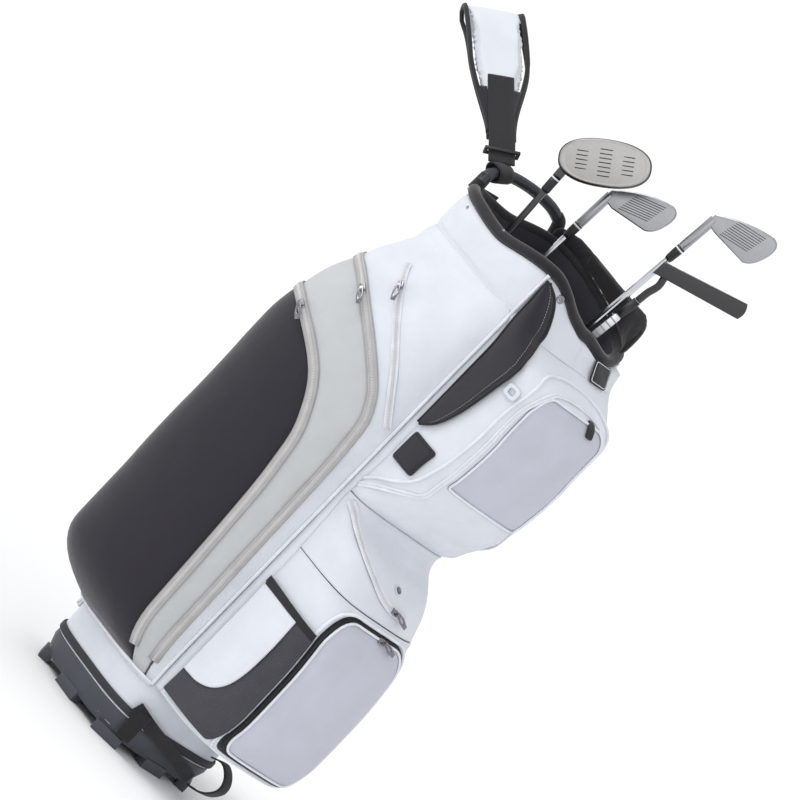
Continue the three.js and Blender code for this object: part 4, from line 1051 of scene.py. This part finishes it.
def upper_pocket():
    """The upper pocket: its cloth, padded face, piping, zip and pull tab."""
    counts = {"side": (30, 56), "corner": 8}
    hole = rounded_box(-39.3, 39.3, 579.4, 763.6, 14, 37, foot=0.12, **counts)
    outer = rounded_box(-FRONT_TURN, FRONT_TURN, 480.5, 802.5, 1.0, 2.5, **counts)

    def relief(edge, p):
        wave = 1.8 * soft_noise(p, 58, 6) + 0.5 * soft_noise(p, 20, 1)
        return -1.2 * math.exp(-edge / 5) + min(1, edge / 14) * wave

    shell = panel("upper_pocket_cloth", front_point, outer, WHITE, hole, 30, 3.6, relief)
    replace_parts(shell, "upper_pocket_shell")

    def crowned(edge, p):
        return 2.6 * (1 - math.exp(-edge / 13)) - 1.2 + 0.8 * soft_noise(p, 70, 3)

    inside = rounded_box(-38.4, 38.4, 580.8, 762.2, 13.5, 36, foot=0.12)
    # The face is drawn in the darker copy of the white cloth: painted shade.
    face = panel("upper_face_cloth", front_point, inside, PAINTED_SHADE_WHITE, rings=16, relief=crowned)
    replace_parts(face, "upper_pocket_face")
    rim = frames_round(front_point, rounded_box(-38.6, 38.6, 580.4, 762.6, 13.6, 36.3, foot=0.12), lift=0.6)
    tube("upper_face_piping", rim, 1.9, PIPING, closed=True)
    outside = mirrored_line([(-86, 505), (-75, 518), (-62, 536), (-54, 562), (-51, 600), (-49.6, 650), (-48.6, 700),
                             (-46.5, 738), (-41.5, 763), (-32, 777), (-18, 783.5)], 785.5)
    tube("upper_outer_piping", frames_on(front_point, outside, 190, lift=0.8), 2.3, PIPING)
    line = mirrored_line([(-85, 494), (-74, 503), (-60, 518), (-49.5, 536), (-43.6, 556), (-43.4, 630), (-43.0, 700),
                          (-41.6, 732), (-37, 752), (-29.5, 764), (-18, 769.5)], 771.5)
    frames = frames_on(front_point, line, 190)
    ribbon("upper_zip_tape", frames, 7.0, 0.8, WHITE_TAPE, lift=0.2, crown=0.3)
    for side, letter in ((-1, "a"), (1, "b")):
        edge = [(p + t.cross(n).normalized() * (side * 2.2) + n * 0.9, t, n) for p, t, n in frames]
        tube("upper_zip_edge_" + letter, edge, 1.5, PIPING, sides=6)
    tab = rounded_box(12.5, 19.5, 749, 768, 1.5, 3.0, side=(4, 8), corner=4)
    panel("upper_pull_tab", front_point, tab, BINDING, rings=4, thickness=1.8, lift=4.4)


def middle_pocket():
    """The waist between the upper pocket and the cooler, with its zip and snap."""
    def at(a, b):
        return front_point(mix(-FRONT_TURN, FRONT_TURN, a), mix(378.6, 479.4, b))

    def relief(a, b, p):
        wave = 1.6 * folds(p, Vector((0.1, 0.8, 0.5)), 30, 1, 3) + 0.8 * soft_noise(p, 26, 5)
        return min(1, min(b, 1 - b) * 100 / 12) * wave

    piece = sheet("mid_pocket_cloth", at, 110, 36, CLOTH, WHITE, relief)
    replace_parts(piece, "mid_pocket")
    frames = frames_on(front_point, MID_SEAM, 90)
    made = zip_line("mid_zip_run", frames, 9, (WHITE_TAPE, COIL, PIPING, WHITE_THREAD), 2.2)
    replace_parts(made[0], "mid_zip")
    place = (3.4, 423)
    button = [(0, 0), (6.2, 0), (6.4, 1.2), (5.2, 2.2), (3.8, 1.5), (2.2, 1.6), (1.2, 2.1), (0, 2.2)]
    collar = [(0, 1.0), (5.4, 1.0), (5.4, 2.5), (4.4, 2.7), (4.4, 2.2), (0, 2.2)]
    for name, profile, lift, finish in (("snap_button", button, 0.8, WHITE_PAD),
                                        ("snap_ring", collar, 0.9, GUNMETAL)):
        turned(name, profile, front_point(*place, lift), normal_on(front_point, *place), finish, "bag", 28)


def plate(name, z, thickness, finish):
    """A flat panel that closes the cooler at a height."""
    rings = []
    for level in (z, z + thickness):
        arc = [front_point(mix(-FRONT_TURN, FRONT_TURN, k / 60), z, -3.2) for k in range(61)]
        back = half_at(z) + 2.4
        line = arc + [Vector((back, arc[-1].y - 12, z)), Vector((back, arc[0].y + 12, z))]
        rings.append([Vector((p.x, p.y, level)) for p in line])
    return loft(name, rings, finish, smooth=False)


def cooler():
    """The cooler pocket, its zip round the opening and the padded lid."""
    counts = {"side": (34, 44), "corner": 10, "foot": 0.5}
    hole = rounded_box(-44.4, 44.4, 111.2, 368.8, 21, 58, **counts)
    outer = rounded_box(-FRONT_TURN, FRONT_TURN, 104, 377.4, 0.8, 1.5, (34, 44), 10)

    def relief(edge, p):
        wave = 1.3 * soft_noise(p, 50, 6) + 0.5 * soft_noise(p, 19, 2)
        return -1.0 * math.exp(-edge / 5) + min(1, edge / 12) * wave

    shell = panel("cooler_cloth", front_point, outer, WHITE, hole, 26, CLOTH, relief)
    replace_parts(shell, "cooler_shell")
    # The cooler's floor and ceiling are drawn in the darker copy of the white cloth: painted shade.
    plate("cooler_floor_cloth", 106.4, 2.4, PAINTED_SHADE_WHITE)
    plate("cooler_ceiling_cloth", 373.2, 2.4, PAINTED_SHADE_WHITE)
    round_outside = rounded_box(-46.2, 46.2, 108.6, 371.2, 21.6, 59.5, **counts)
    tube("cooler_outer_piping", frames_round(front_point, round_outside, lift=0.9), 2.5, PIPING, closed=True)

    band_out = rounded_box(-44.0, 44.0, 111.8, 368.2, 20.6, 57, **counts)
    band_in = rounded_box(-40.7, 43.3, 119.6, 362.2, 18.6, 51, **counts)
    band = panel("cooler_zip_tape", front_point, band_out, BINDING, band_in, 6, 2.4, lift=-0.2)
    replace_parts(band, "cooler_zip")
    run = frames_round(front_point, rounded_box(-42.4, 43.7, 115.6, 365.3, 19.6, 54, **counts))
    beads("cooler_zip_coil", evenly(run + run[:1], 2.3), (1.5, 4.6, 1.1), BLACK_COIL, lift=0.6)

    def crowned(edge, p):
        return 3.4 * (1 - math.exp(-edge / 16)) - 1.4 + 0.8 * soft_noise(p, 80, 4) + 0.3 * soft_noise(p, 30, 4)

    lid_line = rounded_box(-40.0, 42.7, 120.4, 361.6, 18.4, 50.5, foot=0.5)
    # The lid is drawn in the darker copy of the white cloth: painted shade.
    lid = panel("cooler_lid_cloth", front_point, lid_line, PAINTED_SHADE_WHITE, rings=18, relief=crowned, body="cooler_lid")
    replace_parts(lid, "cooler_lid")
    edge = frames_round(front_point, rounded_box(-40.2, 42.9, 120.0, 362.0, 18.5, 50.8, foot=0.5), lift=0.5)
    tube("cooler_lid_piping", edge, 2.0, PIPING, "cooler_lid", closed=True)


def half_moon():
    """The half-moon pocket with its binding and stitches."""
    low, high = 611, 868
    edge = spline([(-60, high), (-45.6, 859), (-40.6, 844.6), (-38.2, 823), (-39, 806), (-46.8, 786), (-57, 764),
                   (-61.4, 737), (-65.5, 688), (-70.6, 649), (-76, 626), (-84, low)])
    back = spline([(-FRONT_TURN, z) for z in (low, 700, 780, high)])
    straight = lambda t: Vector((-FRONT_TURN, edge(t)[1]))
    surface = lambda turn, z: front_point(turn, z, MOON_LIFT)

    def relief(a, b, p):
        border = min(min(1 - a, a) * 60, min(b, 1 - b) * 250)
        return -1.2 * math.exp(-border / 4) + 0.8 * soft_noise(p, 34, 3)

    moon = sheet("half_moon_cloth", between(front_point, straight, edge, MOON_LIFT), 26, 110, 2.8, BLACK, relief)
    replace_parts(moon, "half_moon_pocket")
    tube("half_moon_binding", frames_on(surface, edge, 110, lift=-0.8), 2.4, BINDING)
    tube("half_moon_back_binding", frames_on(surface, back, 90, lift=-0.8), 1.8, BINDING)
    inset = frames_on(surface, lambda t: edge(t).lerp(straight(t), 0.14), 130, 0.02, 0.98)
    beads("half_moon_stitches", evenly(inset, 3.8), (2.5, 0.6, 0.4), GREY_THREAD, lift=-0.2)


def front_trims():
    """The glove patch, the mesh pocket with its panel, and the towel loop."""
    counts = {"side": (8, 12), "corner": 5}
    patch = panel("glove_patch_cloth", front_point, rounded_box(-82.2, -59.6, 554, 602, 2, 5, **counts), BLACK,
                  rings=6, thickness=2.4, lift=3.4, relief=lambda border, p: 0.8 * (1 - math.exp(-border / 3)))
    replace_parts(patch, "glove_patch")
    run = frames_round(front_point, rounded_box(-80.6, -61.2, 557.5, 598.5, 1.6, 4, **counts), lift=4.3)
    beads("glove_patch_stitches", evenly(run + run[:1], 3.6), (2.3, 0.6, 0.4), BLACK_THREAD)

    pocket = panel("mesh_pocket_cloth", front_point, rounded_box(-85, -45, 112, 318, 1, 4, side=(16, 40), corner=4),
                   MESH, rings=12, thickness=1.8, lift=4.6,
                   relief=lambda border, p: 1.5 * soft_noise(p, 40, 2) * min(1, border / 10) + 0.6)
    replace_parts(pocket, "mesh_pocket")
    mouth = frames_on(front_point, spline([(-85, 319), (-65, 317), (-45, 313)]), 40)
    ribbon("mesh_pocket_binding", mouth, 11, 2.0, BINDING, lift=4.8, crown=0.5)
    right = spline([(-84.5, 152), (-80, 152.5), (-73, 155), (-66, 165), (-61, 185), (-58.5, 215), (-57.5, 260),
                    (-57, 311)])
    outline = [right(k / 50) for k in range(51)] + [Vector((-84.5, mix(311, 153, k / 30))) for k in range(31)]
    white = panel("mesh_white_panel", front_point, outline, WHITE, rings=8, thickness=1.8, lift=7.6,
                  relief=lambda border, p: 0.9 * (1 - math.exp(-border / 5)))
    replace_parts(white, "mesh_pocket_panel")
    loop = rounded_box(-58.6, -49.4, 723.5, 742.5, 2.8, 5.5, side=(4, 4), corner=6)
    gap = rounded_box(-56.2, -51.8, 728.5, 737.5, 1.5, 3.0, side=(4, 4), corner=6)
    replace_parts(panel("towel_loop_tab", front_point, loop, WHITE, gap, 4, 2.2, lift=3.2), "towel_loop")


def cuff_badge():
    """A plain sewn rubber badge, with a raised pale edge, on the slope between the upper pocket and the cuff."""
    left, right, low, high = 12.4, 38, 797.5, 827
    corners = [front_point(turn, z, 1.2) for turn, z in ((left, low), (right, low), (right, high), (left, high))]
    across = (corners[1] + corners[2] - corners[0] - corners[3]).normalized()
    up = corners[2] + corners[3] - corners[0] - corners[1]
    up = (up - across * up.dot(across)).normalized()
    out = across.cross(up)
    centre = sum(corners, Vector()) / 4 + out * 1.5
    for name, wide, tall, foot, top, finish in (("badge_body", 19, 16, 0, 2.0, BLACK_PLASTIC),
                                                ("badge_edge", 17.4, 14.4, 1.9, 2.3, RING_WHITE),
                                                ("badge_field", 16.7, 13.7, 2.0, 2.5, BLACK_PLASTIC)):
        outline = rounded_box(-wide, wide, -tall, tall, 3, 3, (6, 6), 5)
        rings = [[centre + across * (x - math.copysign(shrink, x)) + up * (y - math.copysign(shrink, y)) + out * level
                  for x, y in outline] for level, shrink in ((foot, 0.0), (top, 0.4))]
        loft(name, rings, finish)


# ------------------------------------------------------------------ spine, handle, webbing and strap
def smooth_path(points):
    """A centripetal curve through points in space, by even steps of its length."""
    points, steps = [Vector(p) for p in points], 400

    def raw(t):
        x = clamp(t) * (len(points) - 1)
        i = min(int(x), len(points) - 2)
        w = x - i
        p1, p2 = points[i], points[i + 1]
        p0 = points[i - 1] if i else p1 * 2 - p2
        p3 = points[i + 2] if i + 2 < len(points) else p2 * 2 - p1
        d0, d1, d2 = ((b - a).length ** 0.5 or 1 for a, b in ((p0, p1), (p1, p2), (p2, p3)))
        t1 = ((p1 - p0) / d0 - (p2 - p0) / (d0 + d1) + (p2 - p1) / d1) * d1
        t2 = ((p2 - p1) / d1 - (p3 - p1) / (d1 + d2) + (p3 - p2) / d2) * d1
        return p1 + t1 * w + (p2 * 3 - p1 * 3 - t1 * 2 - t2) * w ** 2 + (p1 * 2 - p2 * 2 + t1 + t2) * w ** 3

    samples = [raw(k / steps) for k in range(steps + 1)]
    reach = [0.0]
    for a, b in zip(samples, samples[1:]):
        reach.append(reach[-1] + (b - a).length)

    def at(t):
        want = clamp(t) * reach[-1]
        k = next((i for i in range(1, steps + 1) if reach[i] >= want), steps)
        span = reach[k] - reach[k - 1]
        return samples[k - 1].lerp(samples[k], (want - reach[k - 1]) / span if span else 0)

    return at


def spine_panel():
    """The quilted panel down the spine, with two sewn channels."""
    outwards, low, high, half, channel_at = Vector((-1, 0, 0)), 78, 792, 78, 34

    def at(a, b):
        z, y = mix(low, high, b), mix(-half, half, a)
        swell = 5 * (1 - (y / 80) ** 4) * (1 - ((z - 435) / 360) ** 6)
        return Vector((-half_at(z) - 6 - swell, y, z))

    def relief(a, b, p):
        border = min(min(a, 1 - a) * 156, min(b, 1 - b) * 714)
        channel = min(abs(p.y - channel_at), abs(p.y + channel_at), abs((p.z - low) % 178.5 - 89.2))
        return -2.4 * math.exp(-border / 8) - 1.6 * math.exp(-channel / 5) + 0.8 * soft_noise(p, 50, 3)

    piece = sheet("spine_panel_cloth", at, 64, 150, CLOTH, WHITE, relief, outwards)
    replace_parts(piece, "spine_panel")
    line = [(k / 20, 0.004) for k in range(21)] + [(0.996, k / 60) for k in range(1, 60)]
    line += [(1 - k / 20, 0.996) for k in range(21)] + [(0.004, 1 - k / 60) for k in range(1, 60)]
    points = [at(a, b) for a, b in line]
    frames = [(p, (points[(k + 1) % len(points)] - points[k - 1]).normalized(), outwards)
              for k, p in enumerate(points)]
    tube("spine_panel_piping", frames, 2.3, PIPING, closed=True)


def base_webbing():
    """The crossed webbing low on the corner and the loop beside it."""
    half, width, thick = 125, 24, 2.2
    outwards = lambda p: Vector((p.x, p.y, 0)).normalized()
    for name, turns, steps, wide, lift in (
            ("base_handle_upright", ((-38, 20), (-38, 44), (-38, 66)), 20, width, 0.0),
            ("base_handle_slant", ((-44, 66), (-30, 56), (-12, 46), (8, 36), (25, 25)), 48, width - 4, 0.3)):
        path = smooth_path([section(half, math.radians(turn), z) for turn, z in turns])
        piece = ribbon(name, frames_along(path, steps, outwards), wide, thick, WEBBING, lift=lift, crown=0.3)
        if name == "base_handle_upright":
            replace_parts(piece, "base_handle")
    loop = smooth_path([(127, 62, 68), (146, 66, 74), (164, 70, 62), (168, 71, 48), (158, 69, 32), (142, 65, 23),
                        (129, 62, 20)])
    middle = Vector((142, 66, 47))
    frames = frames_along(loop, 60, lambda p: p - middle)
    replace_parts(ribbon("base_loop_web", frames, width - 2, thick, WEBBING, "base_loop", crown=0.3), "base_loop")


STRAP_SIDE = Vector((0.4, 0.765, 0.505))
STRAP_PATH = smooth_path([
    (-146, -54, 908), (-190, -47, 934), (-250, -40, 968), (-310, -35, 1004), (-360, -31, 1029), (-383, -24, 1035),
    (-390, -13, 1026), (-374, -5, 1014), (-318, -10, 990), (-258, -15, 954), (-198, -20, 920), (-164, -24, 898)])
STRAP_WIDTHS = [(0.1, 42), (0.34, 88), (0.66, 88), (0.9, 42)]
WEB_WIDTH, WEB_THICK = 38, 2.2


def strap_frames(start, end, steps):
    """How far along, point, tangent, side and normal, on the strap's loop."""
    found = []
    for k in range(steps + 1):
        t = mix(start, end, k / steps)
        tangent = (STRAP_PATH(min(t + 0.006, 1)) - STRAP_PATH(max(t - 0.006, 0))).normalized()
        side = (STRAP_SIDE - tangent * STRAP_SIDE.dot(tangent)).normalized()
        found.append((t, STRAP_PATH(t), tangent, side, side.cross(tangent).normalized()))
    return found


def strap():
    """The padded strap: puffed pad, binding, the plain cover of its lower end and the webbing over it."""
    rings, edges, pad_start, pad_end = [], ([], []), 0.1, 0.9
    for t, p, tangent, side, normal in strap_frames(pad_start, pad_end, 90):
        half = through(STRAP_WIDTHS, t) / 2 - 4.5
        end = min(1, 14 * min(t - 0.098, 0.902 - t)) ** 0.5
        loop = []
        for c, s in circle(28):
            x, y = power(c, 0.45), power(s, 0.8)
            loop.append(p + side * (half * x) + normal * (3.7 * y * mix(0.5, 1, end) * (1 - 0.45 * abs(x) ** 6)))
        rings.append(loop)
        for way, run in zip((-1, 1), edges):
            run.append((p + side * (way * (half + 1.4)), tangent, tangent.cross(normal).normalized() * way))
    pad = loft("strap_padding", rings, WHITE_PAD, "strap")
    puffed(pad, 0.0035)
    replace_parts(pad, "strap_pad")
    for letter, run in zip("ab", edges):
        tube("strap_binding_" + letter, run, 4.4, BINDING, "strap", 12, squash=0.75)
    web = [(p, tangent, normal) for _, p, tangent, _, normal in strap_frames(0.0, 0.27, 60)]
    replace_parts(ribbon("strap_web", web, WEB_WIDTH, WEB_THICK, WEBBING, "strap", 5.6, 0.4), "strap_webbing")
    profile = ((1, 4.9), (0.6, 5.4), (0, 5.5), (-0.6, 5.4), (-1, 4.9), (-1, 3.0), (0, 4.4), (1, 3.0))
    cover = []
    for t, p, tangent, side, normal in strap_frames(pad_start, 0.235, 24):
        half = through(STRAP_WIDTHS, t) / 2 - 3.0
        cover.append([p + side * (half * x) + normal * (h * (1 - 0.25 * abs(x) ** 4)) for x, h in profile])
    loft("strap_lower_cover", cover, BLACK, "strap")
    softened("strap_buckle", "strap_ring", 1.0, BLACK_PLASTIC)


def handle_fittings():
    """The webbing hoop round the lift handle, the handle's two feet and the strap's tail down the spine."""
    middle, axis = Vector((-133.4, -55, 901.4)), Vector((-0.208, 0.935, 0.286)).normalized()
    long_reach, reach, hoop_width = 17, 10.4, 32
    towards = Vector((-1, 0, 0.35))
    towards = (towards - axis * towards.dot(axis)).normalized()
    upright = axis.cross(towards)
    hoop = []
    for c, s in circle(36):
        far = long_reach if c > 0 else reach
        out = towards * (far * c) + upright * (reach * s)
        step = (upright * (reach * c) - towards * (far * s)).normalized()
        normal = -axis.cross(step).normalized()
        hoop.append((middle + out, step, normal if normal.dot(out) > 0 else -normal))
    loft("handle_hoop", ribbon_rings(hoop, hoop_width, 2.0, 0.0, 0.2), WEBBING, closed=True)
    rim_z = rim_at(math.radians(218))
    feet = {"near": [(-121.5, -86.5, rim_z + 22), (-119, -89, rim_z + 13), (-116, -92, rim_z - 3)],
            "far": [(-134, 84, 903), (-132.5, 95, 897.5), (-129, 101, 878)]}
    for side, points in feet.items():
        frames = frames_along(smooth_path(points), 16, lambda p: Vector((p.x, p.y, 0)))
        tube("handle_foot_" + side, frames, lambda t: mix(9.0, 10.2, t), BINDING, sides=20)
    tail = smooth_path([(-140, -36, 872), (-142, -34, 846), (-146, -30, 790), (-147, -24, 700), (-146, -18, 560),
                        (-142, -14, 420)])
    frames = frames_along(tail, 80, lambda p: Vector((-1, 0, 0)))
    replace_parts(ribbon("strap_tail_web", frames, WEB_WIDTH, WEB_THICK, WEBBING, crown=0.4), "strap_tail")


# ------------------------------------------------------------------ clubs
def club_frame(butt, passing):
    """A frame at a grip's butt, with Z up the shaft and Y as nearly forward as it can be."""
    z = (Vector(passing) - Vector(butt)).normalized()
    x = Vector((-0.669, 0.743, 0)).cross(z).normalized()
    y = z.cross(x)
    return Matrix([list(row) for row in zip(x, y, z, butt)] + [[0, 0, 0, 1]])


CLUBS = {"driver": club_frame((-20, -33, 21.2), (-84, -21, 890)),
         "wedge": club_frame((-90, 8, 21.2), (-84, 71, 890)),
         "iron": club_frame((-10, 38, 21.2), (43, 98, 890)),
         "putter": club_frame((14, -18, 22.2), (92, 64, 890))}
SHAFT = 4.9


def towards_in(place, direction):
    """A direction of a place's own frame."""
    return (place.to_3x3() @ Vector(direction).normalized()).normalized()


def on_shaft(name, club, profile, finish):
    """A turned piece round a club's shaft, from (radius, height) pairs."""
    return turned(name, profile, CLUBS[club].translation, towards_in(CLUBS[club], (0, 0, 1)), finish, club)


def driver_head():
    """The driver's body, its face plate with score lines, and its neck and ferrule."""
    place = CLUBS["driver"] @ Matrix.Translation((36, -10, 992)) @ Matrix.Rotation(math.radians(-33), 4, "Y")
    width, height, depth, plumpness, sides = 62, 31, 70, 0.85, 56

    def outline(wide, tall, y, drop=0.0):
        return [place @ Vector((wide * power(c, plumpness), y, tall * power(s, plumpness) - drop))
                for c, s in circle(sides)]

    rings = []
    for k in (0.0, 0.03, 0.1, 0.2, 0.32, 0.45, 0.58, 0.7, 0.8, 0.88, 0.94, 0.98):
        inset = 0.0 if k else 1.2
        wide, tall = width * math.sqrt(1 - k ** 2.4) - inset, height * math.sqrt(1 - k ** 2) - inset
        rings.append(outline(wide * 1.03, tall * 1.05, k * depth, 2.0 * min(1, 8 * k)))
    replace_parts(loft("driver_body", rings, CROWN, "driver"), "driver_head")
    levels = [(0.99, -0.3), (1.0, -0.9), (0.985, -1.6), (0.93, -2.0), (0.9, -1.7)]
    levels += [(scale, -1.7 - 2.0 * (1 - (scale / 0.9) ** 2)) for scale in (0.88, 0.72, 0.55, 0.36, 0.16, 0.02)]
    face = [outline(width * scale, height * scale, y) for scale, y in levels]
    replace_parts(loft("driver_face_plate", face, TITANIUM, "driver"), "driver_face")
    marks = []
    for x in (-31, 0, 31):
        for row in range(-2, 3) if x else range(-3, 4):
            z = row * 6.0
            y = -1.75 - 2.0 * (1 - min((x / 56) ** 2 + (z / 28) ** 2, 1))
            marks.append((place @ Vector((x, y, z)), towards_in(place, (1, 0, 0)), towards_in(place, (0, -1, 0))))
    beads("driver_score_lines", marks, (17, 1.5, 0.35), SCORE, "driver")
    neck = [(5.0, 932.5), (6.6, 932.6), (6.8, 938), (6.8, 962), (7.6, 976), (0, 976)]
    on_shaft("driver_neck", "driver", neck, CROWN)
    sleeve = [(5.4, 908), (6.5, 911), (6.6, 924), (6.6, 930), (5.4, 930)]
    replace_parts(on_shaft("driver_ferrule_sleeve", "driver", sleeve, BLACK_PLASTIC), "driver_ferrule")
    on_shaft("driver_ferrule_band", "driver", [(5.6, 930), (6.75, 930.1), (6.75, 932.3), (5.6, 932.4)], RING_WHITE)


def iron_heads():
    """The wedge and iron blades with their score lines and ferrules."""
    hosel = 56
    for club, length, rise, turn in (("wedge", 902, 30, -8), ("iron", 985, 22, -6)):
        softened(club + "_blade", club + "_head", 0.9, STEEL, 3, 25)
        place = CLUBS[club] @ Matrix.Rotation(math.radians(turn), 4, "Z")
        marks = []
        for k in range(9):
            x = 41 + 0.5 * k
            z = length + hosel + x * rise / 70 - 11 + k * 3.6
            marks.append((place @ Vector((x, -4.52, z)), towards_in(place, (1, 0, rise / 70)),
                          towards_in(place, (0, -1, 0))))
        beads(club + "_score_lines", marks, (44, 1.0, 0.25), SCORE, club)
        sleeve = [(SHAFT, -26), (6.0, -22), (6.7, -8), (6.7, -0.4), (SHAFT, -0.4)]
        band = [(6.4, -5.4), (6.85, -5.2), (6.85, -3.0), (6.4, -2.8)]
        for name, profile, finish in (("_ferrule", sleeve, BLACK_PLASTIC), ("_ferrule_band", band, RING_WHITE)):
            on_shaft(club + name, club, [(r, length + h) for r, h in profile], finish)


def putter_head():
    """The putter's blade, and the sleeve and banded label on its shaft."""
    softened("putter_blade", "putter_head", 1.2, PUTTER_PAINT, 3, 30)
    on_shaft("putter_sleeve", "putter", [(SHAFT, 868), (6.0, 869), (6.0, 899.6), (SHAFT, 899.6)], BLACK_PLASTIC)
    on_shaft("putter_band", "putter", [(SHAFT, 826), (5.4, 826.2), (5.4, 866), (SHAFT, 866.2)], RING_WHITE)
    for k in range(4):
        stripe = [(5.3, 0), (5.55, 0.1), (5.55, 2.2), (5.3, 2.3)]
        on_shaft("putter_stripe_" + str(k), "putter", [(r, 831 + k * 9 + h) for r, h in stripe], GREY_THREAD)


def clubs():
    """All four clubs; grips and shafts keep their CAD shape."""
    driver_head()
    iron_heads()
    putter_head()
    for club, finish in (("driver", GRAPHITE), ("wedge", CHROME), ("iron", CHROME), ("putter", CHROME)):
        dress(club + "_grip", GRIP)
        dress(club + "_shaft", finish)


def dress(node, finish):
    """Gives a CAD node that keeps its shape a better material."""
    for place in frame["nodes"][node].material_slots:
        place.material = finish[0]


def sliders():
    """The five zip sliders and their pulls."""
    for name in ("near_lower", "near_upper", "near_slash", "mid", "cooler"):
        softened(name + "_runner", name + "_slider", 0.7, GUNMETAL, 3)
        softened(name + "_tab", name + "_pull", 0.5, GUNMETAL, 2)


for build in (stage_and_light, tube_and_base, cuff, rim, lip, pocket_cloth, pocket_zips, pocket_edges,
              upper_pocket, middle_pocket, cooler, half_moon, front_trims, cuff_badge, spine_panel, base_webbing, strap,
              handle_fittings, clubs, sliders):
    build()
dress("lift_handle", HANDLE_PLASTIC)
